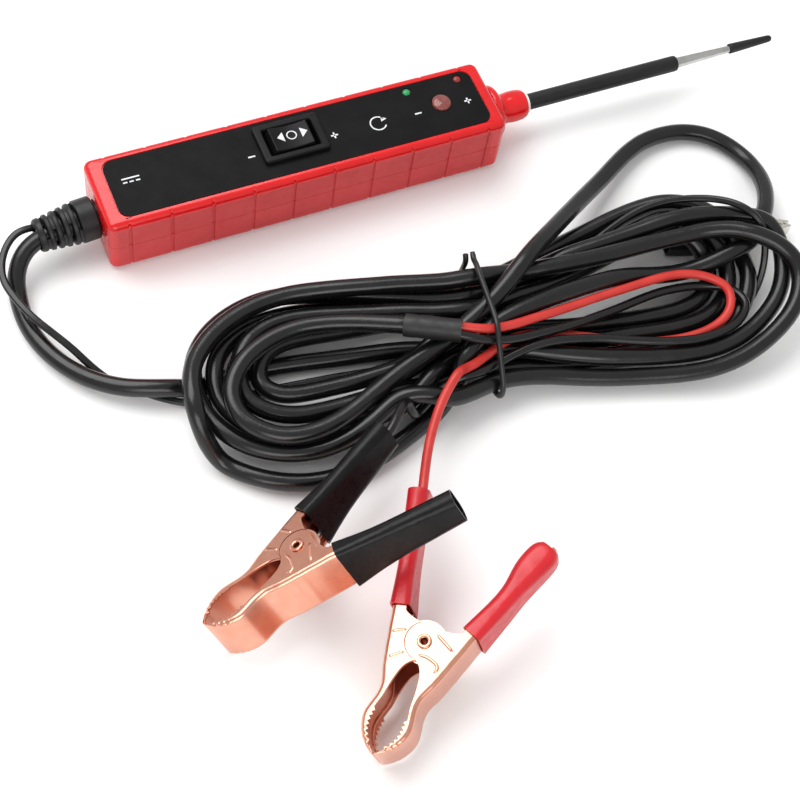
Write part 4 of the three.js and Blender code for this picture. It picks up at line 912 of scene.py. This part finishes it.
EDGES = (
    ((-4.4, 13.4), (-6.6, 9.0)), ((-2.6, 12.95), (-5.5, 5.6)), ((-0.9, 12.5), (-5.3, 1.9)),
    ((0.5, 12.1), (-5.7, -2.3)), ((2, 11.65), (-3.6, -5.0)), ((3.6, 11.2), (-0.3, -6.1)),
    ((5.2, 10.8), (3.1, -5.3)), ((6.8, 10.3), (5.4, -3.0)), ((8.4, 9.85), (6.2, -0.2)),
    ((10, 9.35), (7.2, 1.2)), ((12, 8.7), (9.2, 2.6)), ((14.4, 7.7), (12.2, 3.5)),
    ((17, 6.85), (15.8, 4.1)), ((20, 6.85), (19.8, 4.5)), ((23, 7.5), (23, 5.2)), ((25.6, 8), (25.6, 5.5)),
    ((27.8, 7.9), (27.6, 5.6)), ((29.8, 7.3), (29.6, 5.35)), ((32, 6.2), (31.6, 4.7)),
    ((33.8, 4.8), (33.3, 3.6)), ((35.4, 3.0), (35, 2.1)), ((36.6, 1.1), (36.9, 0.25)))
OWN_RIBS = (
    [(-3.5, 2.7), (-1.9, 6.1), (-0.3, 9.5)],
    [(4.5, -0.1), (4.2, 3.0), (5.0, 6.1), (6.2, 7.2), (7.9, 6.7)])
FAR_RIBS = (
    [(0.9, -10.6), (-0.6, -8.0), (-2.0, -5.0), (-3.3, -2.1)],
    [(8.4, -8.2), (7.0, -6.4), (5.1, -4.1), (4.2, -1.2)])


def jaw_stations():
    """Points on a half's outer and inner edges, from the handle's end to the nose, and its pinch there.

    The handle is slimmer where its sleeve covers it."""
    pairs, pinch = [], []
    for along in (HANDLE_LONG, 30, 20, 10, 4, 1):
        covered = min(1, along / 20)
        reach = HANDLE_REACH - 0.9 * covered
        pairs.append((on_handle(along, -reach), on_handle(along, reach)))
        pinch.append(PINCH * along / HANDLE_LONG + 0.5 * covered)
    pinch += [0] * len(EDGES)
    return np.array(pairs + list(EDGES)), np.array(pinch, float)


def inner_ears():
    """The fixed half's ears: discs set in by a step, so that the other half's ears lie flush over them."""
    back, seat = -EAR_STEP - SHEET, -SHEET - 0.02
    profile = [(RIVET_HOLE, back), (EAR_RIM, back), (EAR_RIM, seat), (EAR_HOLE, seat), (EAR_HOLE, -EAR_STEP),
               (RIVET_HOLE, -EAR_STEP)]
    surface = Surface()
    for far in (False, True):
        surface.rows([[(r * math.cos(a), r * math.sin(a), -CLIP_WIDE - z if far else z) for a in circle(72)]
                      for r, z in profile], loop=True)
    return surface


def fold(reach):
    """The top half of a folded plate's section, as (inward from the spine, down): outer and inner side."""
    bend = min(BEND, reach * 0.75)
    inside = max(bend - SHEET, 0.1)
    shares = np.linspace(0, 1, PLATE_COLUMNS)
    quarter = np.linspace(0.2, PI / 2, 5)
    outer = [(reach - 0.02, 0.5), (reach - 0.02, 0.2), (reach - 0.18, 0.02)]
    outer += [(bend + (reach - 0.3 - bend) * t, 0.0) for t in shares[::-1]]
    outer += [(bend - bend * math.sin(a), bend - bend * math.cos(a)) for a in quarter]
    start = min(SHEET + inside, reach - 0.2)
    inner = [(SHEET + inside - inside * math.sin(a), SHEET + inside - inside * math.cos(a))
             for a in quarter[::-1]]
    inner += [(start + (reach - 0.3 - start) * t, SHEET) for t in shares]
    inner += [(reach - 0.18, SHEET - 0.02), (reach - 0.02, 0.8)]
    return outer, inner


def jaw_rows():
    """One folded half: a closed section at each station, from the handle's end to the nose."""
    pairs, pinch = jaw_stations()
    outer, inner = through(pairs[:, 0], STATION_STEPS), through(pairs[:, 1], STATION_STEPS)
    pinch = through(pinch[:, None] * [1, 0], STATION_STEPS)[:, 0]
    rows = []
    for o, i, p in zip(outer, inner, pinch):
        way = unit(i - o)
        if TEETH_START < i[0] < TEETH_END:
            phase = (i[0] - TEETH_START) / TOOTH_PITCH % 1
            i = i + way * TOOTH_TALL * (1 - abs(2 * phase - 1))
        top, under = fold(np.linalg.norm(i - o))
        spine = CLIP_WIDE / 2 - p

        def near(depth, down):
            return *(o + way * depth), -down - p

        def far(depth, down):
            return *(o + way * depth), down + p - CLIP_WIDE
        row = [near(*point) for point in top] + [near(0, spine)]
        row += [far(*point) for point in top[::-1]] + [far(*point) for point in under[::-1]]
        row += [near(SHEET, spine)] + [near(*point) for point in under]
        rows.append(row)
    return rows


def capsule(surface, path, radius, sides=10):
    """A half-buried pressed rib along a path."""
    path = np.asarray(path, float)
    u, v = frames(path)
    rows = []
    for i, t in enumerate(np.linspace(0, 1, len(path))):
        r = radius * math.sqrt(max(0.02, 1 - abs(2 * t - 1) ** 6))
        rows.append([path[i] + r * (math.cos(a) * u[i] + 0.75 * math.sin(a) * v[i]) for a in circle(sides)])
    surface.rows(rows)


def mirrored(surface):
    """Turns the moving half's shape into the fixed half's."""
    surface.points = [(x, -y, z) for x, y, z in surface.points]


def rib_surface(moving):
    """The pressed ribs on a half's two ears. The fixed half has what its partner leaves uncovered."""
    if moving:
        lines = [through(path, 6) for path in OWN_RIBS]
    else:
        lines = [through(path, 10) for path in FAR_RIBS]
        lines = [line[np.hypot(line[:, 0], line[:, 1]) > EAR_HOLE + 0.3] for line in lines]
    surface = Surface()
    for line in lines:
        for level in (-RIB_SUNK, RIB_SUNK - CLIP_WIDE):
            capsule(surface, [(x, y, level) for x, y in line], RIB_RADIUS)
    return surface


def sleeve_surface(deep, tall, shift, long=HANDLE_LONG):
    """A soft flat sleeve along the handle. deep, tall and shift give its section at t from 0 to 1."""
    def ring(t, thin):
        a, b = deep(t) / 2 - thin, tall(t) / 2 - thin
        radius = min(a, b, 2.0 + 1.6 * t) - 0.01
        points = []
        for across, up in soft_rectangle(a, b, max(radius - thin, 0.3), 0, 0, 5):
            x, y = on_handle(SLEEVE_START + long * t, across + shift(t))
            points.append((x, y, -CLIP_WIDE / 2 + up))
        return points
    steps = np.linspace(0, 1, SLEEVE_ROWS)
    lip = SLEEVE_WALL - 0.1
    rows = [ring(t, 0) for t in steps] + [ring(1, 0.15), ring(1, lip)]
    rows += [ring(t, SLEEVE_WALL) for t in steps[::-1]] + [ring(0, lip), ring(0, 0.15)]
    return skin(rows, loop=True)


def curve(*knots):
    """A smooth function through (t, value) knots."""
    line = through(knots, 12)
    return lambda t: float(np.interp(t, line[:, 0], line[:, 1]))


def build_spring(name, body, place, coil, wire):
    """A torsion spring round the hinge, left where it is built: it goes on no body, and neither leg turns
    with body.
    """
    line = through(centreline(f"{name}_spring", 6), 3)
    twist = [tuple((place @ [0, side * 0.82 * coil, 0, 1])[:3] * MM) for side in (-1, 1)]
    piece(f"{name}_coil", tube(line, wire, 12), STEEL, body, f"{name}_spring", "spring_steel", sharp=60,
          twist=twist)


def build_rivet(name, place):
    """A hollow rivet with a rolled head on each side."""
    head = rounded_profile([
        (0.1, 1.5, 0), (0.1, 2.35, 0.2), (0.6, 2.3, 0.25), (0.8, 1.8, 0.3), (0.6, 1.1, 0.3), (-1, 0.85, 0)])
    profile = [(-CLIP_WIDE - x, r) for x, r in reversed(head)] + head
    rows = [[(y, z, x) for x, y, z in row] for row in turned(profile, 48)]
    piece(f"{name}_clip_eyelet", skin(rows, loop=True), COPPER, node=f"{name}_clip_rivet",
          slot="copper_plate", place=place, sharp=50)


def battery_clip(name, place, moving_body, sleeve_finish, slot, grips):
    for moving in (False, True):
        kind, body = ("moving", moving_body) if moving else ("fixed", "handset")
        jaw, sleeve = skin(jaw_rows()), sleeve_surface(*grips[moving])
        if not moving:
            mirrored(jaw)
            mirrored(sleeve)
        jaw = raw(f"{name}_{kind}_jaw_sheet", jaw, place)
        carve(jaw, raw("cut", disc(0, 0, -CLIP_WIDE - 1, 1, RIVET_HOLE), place))
        if not moving:
            for z in (0, -CLIP_WIDE):
                carve(jaw, raw("cut", disc(0, 0, z - SHEET - 0.3, z + SHEET + 0.3, EAR_HOLE, 72), place))
            piece(f"{name}_clip_inner_ears", inner_ears(), COPPER, slot="copper_plate", place=place, sharp=40)
        dress(jaw, COPPER, body, f"{name}_clip_{kind}_jaw", "copper_plate", sharp=32)
        piece(f"{name}_{kind}_jaw_ribs", rib_surface(moving), COPPER, body, slot="copper_plate", place=place,
              sharp=60)
        piece(f"{name}_{kind}_grip", sleeve, sleeve_finish, body, f"{name}_clip_{kind}_sleeve", slot, place,
              sharp=50)
    build_rivet(name, place)
    build_spring(f"{name}_clip", moving_body, place, 4.2, 0.6)


BLACK_PLACE = clip_place((-57.4, -146.4, 27.6), (-0.915, -0.272, -0.298), (-0.393, 0.442, 0.806))
RED_PLACE = clip_place((-31.6, -187.3, 23.3), (-0.718, -0.666, -0.203), (-0.287, 0.017, 0.958))
GROUND_PLACE = clip_place((146, -73.6, 7.8), (0.97, -0.242, 0), (0, 0, 1))


# Slightly waisted, and opening out again at its end.
PLAIN_GRIP = (
    curve((0, 6.5), (0.35, 5.8), (0.7, 6.5), (1, 7.3)),
    curve((0, 17.7), (0.35, 14.6), (1, 12.2)),
    curve((0, 0), (1, 0)))
# Pinched in the middle, swollen and pressed flat at the end, where the handle's tip shows.
WAISTED_GRIP = (
    curve((0, 6.8), (0.3, 6.3), (0.5, 6.7), (0.72, 9.2), (0.88, 9.8), (0.96, 8.8), (1, 6.6)),
    curve((0, 17.6), (0.5, 13.8), (0.8, 12.0), (0.95, 11.0), (1, 9.6)),
    curve((0, 0), (0.4, 0), (0.72, 1.2), (1, 1.2)),
    HANDLE_LONG - 2.2)

BOOT_WALL, BOOT_WIDE, BOOT_TALL, BOOT_ROUND, BOOT_MIDDLE = 0.8, 16.6, 9.2, 3.2, -3.2
BOOT_BACK, BOOT_FRONT = -28, 4


def build_ground_clip():
    """The small alligator clip: its spring and the soft boot over its handles."""
    for part in ("fixed_jaw", "moving_jaw", "pin"):
        keep(f"ground_clip_{part}", NICKEL, 0.15)
    build_spring("ground_clip", "ground_jaw", GROUND_PLACE, 2, 0.35)

    def ring(x, thin):
        swell = -0.5 * (max(0, -20 - x) / 8) ** 2
        a, b = BOOT_WIDE / 2 + swell - thin, BOOT_TALL / 2 + swell * 0.6 - thin
        return [(x, y, BOOT_MIDDLE + z) for y, z in soft_rectangle(a, b, BOOT_ROUND - thin)]
    stations = np.linspace(BOOT_BACK, BOOT_FRONT, 17)
    lip = BOOT_WALL - 0.15
    rows = [ring(x, 0) for x in stations] + [ring(BOOT_FRONT, 0.2), ring(BOOT_FRONT, lip)]
    rows += [ring(x, BOOT_WALL) for x in stations[::-1]] + [ring(BOOT_BACK, lip), ring(BOOT_BACK, 0.2)]
    piece("ground_clip_cover", skin(rows, loop=True), SLEEVE_BLACK, node="ground_clip_boot",
          slot="black_sleeving", place=GROUND_PLACE, sharp=50)


# ---- CAD nodes that stay ----


def keep(name, material, bevel=0.0):
    """A CAD node that is shown as it is, with a finish and lightly broken edges."""
    obj = NODES[name]
    paint(obj, material)
    if bevel:
        weld = obj.modifiers.new("weld", "WELD")
        weld.merge_threshold = CLEAN
        soften(obj, bevel, 2)


def dress_kept_nodes():
    for i in range(4):
        keep(f"housing_screw_{i + 1}", ZINC, 0.08)
    keep("rocker_pin", STEEL, 0.05)
    for side in ("left", "middle", "right"):
        keep(f"switch_terminal_{side}", BRASS, 0.08)
    keep("circuit_board", BOARD, 0.1)
    keep("thermal_breaker", ZINC, 0.2)
    keep("probe_wire", CORD_RED)
    keep("supply_core_red", CORD_RED)
    keep("supply_core_black", CORD_BLACK)


# ---- bench, lights and camera ----


def bench():
    """A plain pale floor under the lowest point."""
    mesh = bpy.data.meshes.new("bench")
    corners = [(x * 4, y * 4, 0) for x, y in ((-1, -1), (1, -1), (1, 1), (-1, 1))]
    mesh.from_pydata(corners, [], [(0, 1, 2, 3)])
    floor = bpy.data.objects.new("bench", mesh)
    floor.location.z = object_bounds()[0][2] - 0.0001
    bpy.context.scene.collection.objects.link(floor)
    made = Finish("bench_white", 0.6)
    made.colour(made.mix(made.noise(60, 2), srgb(247, 247, 246), srgb(250, 250, 250)))
    floor.data.materials.append(made.material)
    floor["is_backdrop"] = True


def stand(name, data, right, up, back, eye):
    """Puts a lamp or camera into the scene, looking against back."""
    obj = bpy.data.objects.new(name, data)
    bpy.context.scene.collection.objects.link(obj)
    obj.matrix_world = Matrix([[right[i], up[i], back[i], eye[i]] for i in range(3)] + [[0, 0, 0, 1]])
    return obj


def lamp(name, position, target, size, power):
    """A soft rectangular lamp, size in metres and power in watts."""
    light = bpy.data.lights.new(name, "AREA")
    light.shape = "RECTANGLE"
    light.size, light.size_y = size
    light.energy = power
    eye, aim = np.array(position) * MM, np.array(target) * MM
    back = unit(eye - aim)
    right = unit(np.cross((0, 0, 1), back))
    stand(name, light, right, np.cross(back, right), back, eye)


def studio():
    world = bpy.data.worlds.new("studio")
    world.use_nodes = True
    sky = world.node_tree.nodes["Background"]
    sky.inputs["Color"].default_value = (1, 1, 1, 1)
    sky.inputs["Strength"].default_value = 0.66
    bpy.context.scene.world = world
    lamp("key", (-220, 390, 860), (20, -60, 0), (1.0, 0.7), 9)
    lamp("fill", (-300, -900, 500), (20, -60, 0), (0.8, 0.5), 4)
    bpy.context.scene.view_settings.view_transform = "Standard"


def camera():
    """The photograph's view: from the near left, looking down."""
    lens = bpy.data.cameras.new("camera")
    lens.sensor_width = 36
    lens.lens = 74.25
    lens.clip_start, lens.clip_end = 0.01, 20
    eye = np.array((-155.72, -330.84, 490.11)) * MM
    right, up = (0.91697, -0.38347, 0.11013), (0.28676, 0.82538, 0.48632)
    back = (-0.27739, -0.41436, 0.86681)
    bpy.context.scene.camera = stand("camera", lens, right, up, back, eye)


build_case()
build_label()
build_marks()
build_switch()
build_rocker()
build_lamps()
build_probe()
build_relief()
build_cords()
build_shrink_tube()
battery_clip("black", BLACK_PLACE, "black_jaw", SLEEVE_BLACK, "black_sleeving", (PLAIN_GRIP, PLAIN_GRIP))
battery_clip("red", RED_PLACE, "red_jaw", SLEEVE_RED, "red_sleeving", (PLAIN_GRIP, WAISTED_GRIP))
build_ground_clip()
dress_kept_nodes()
bench()
studio()
camera()
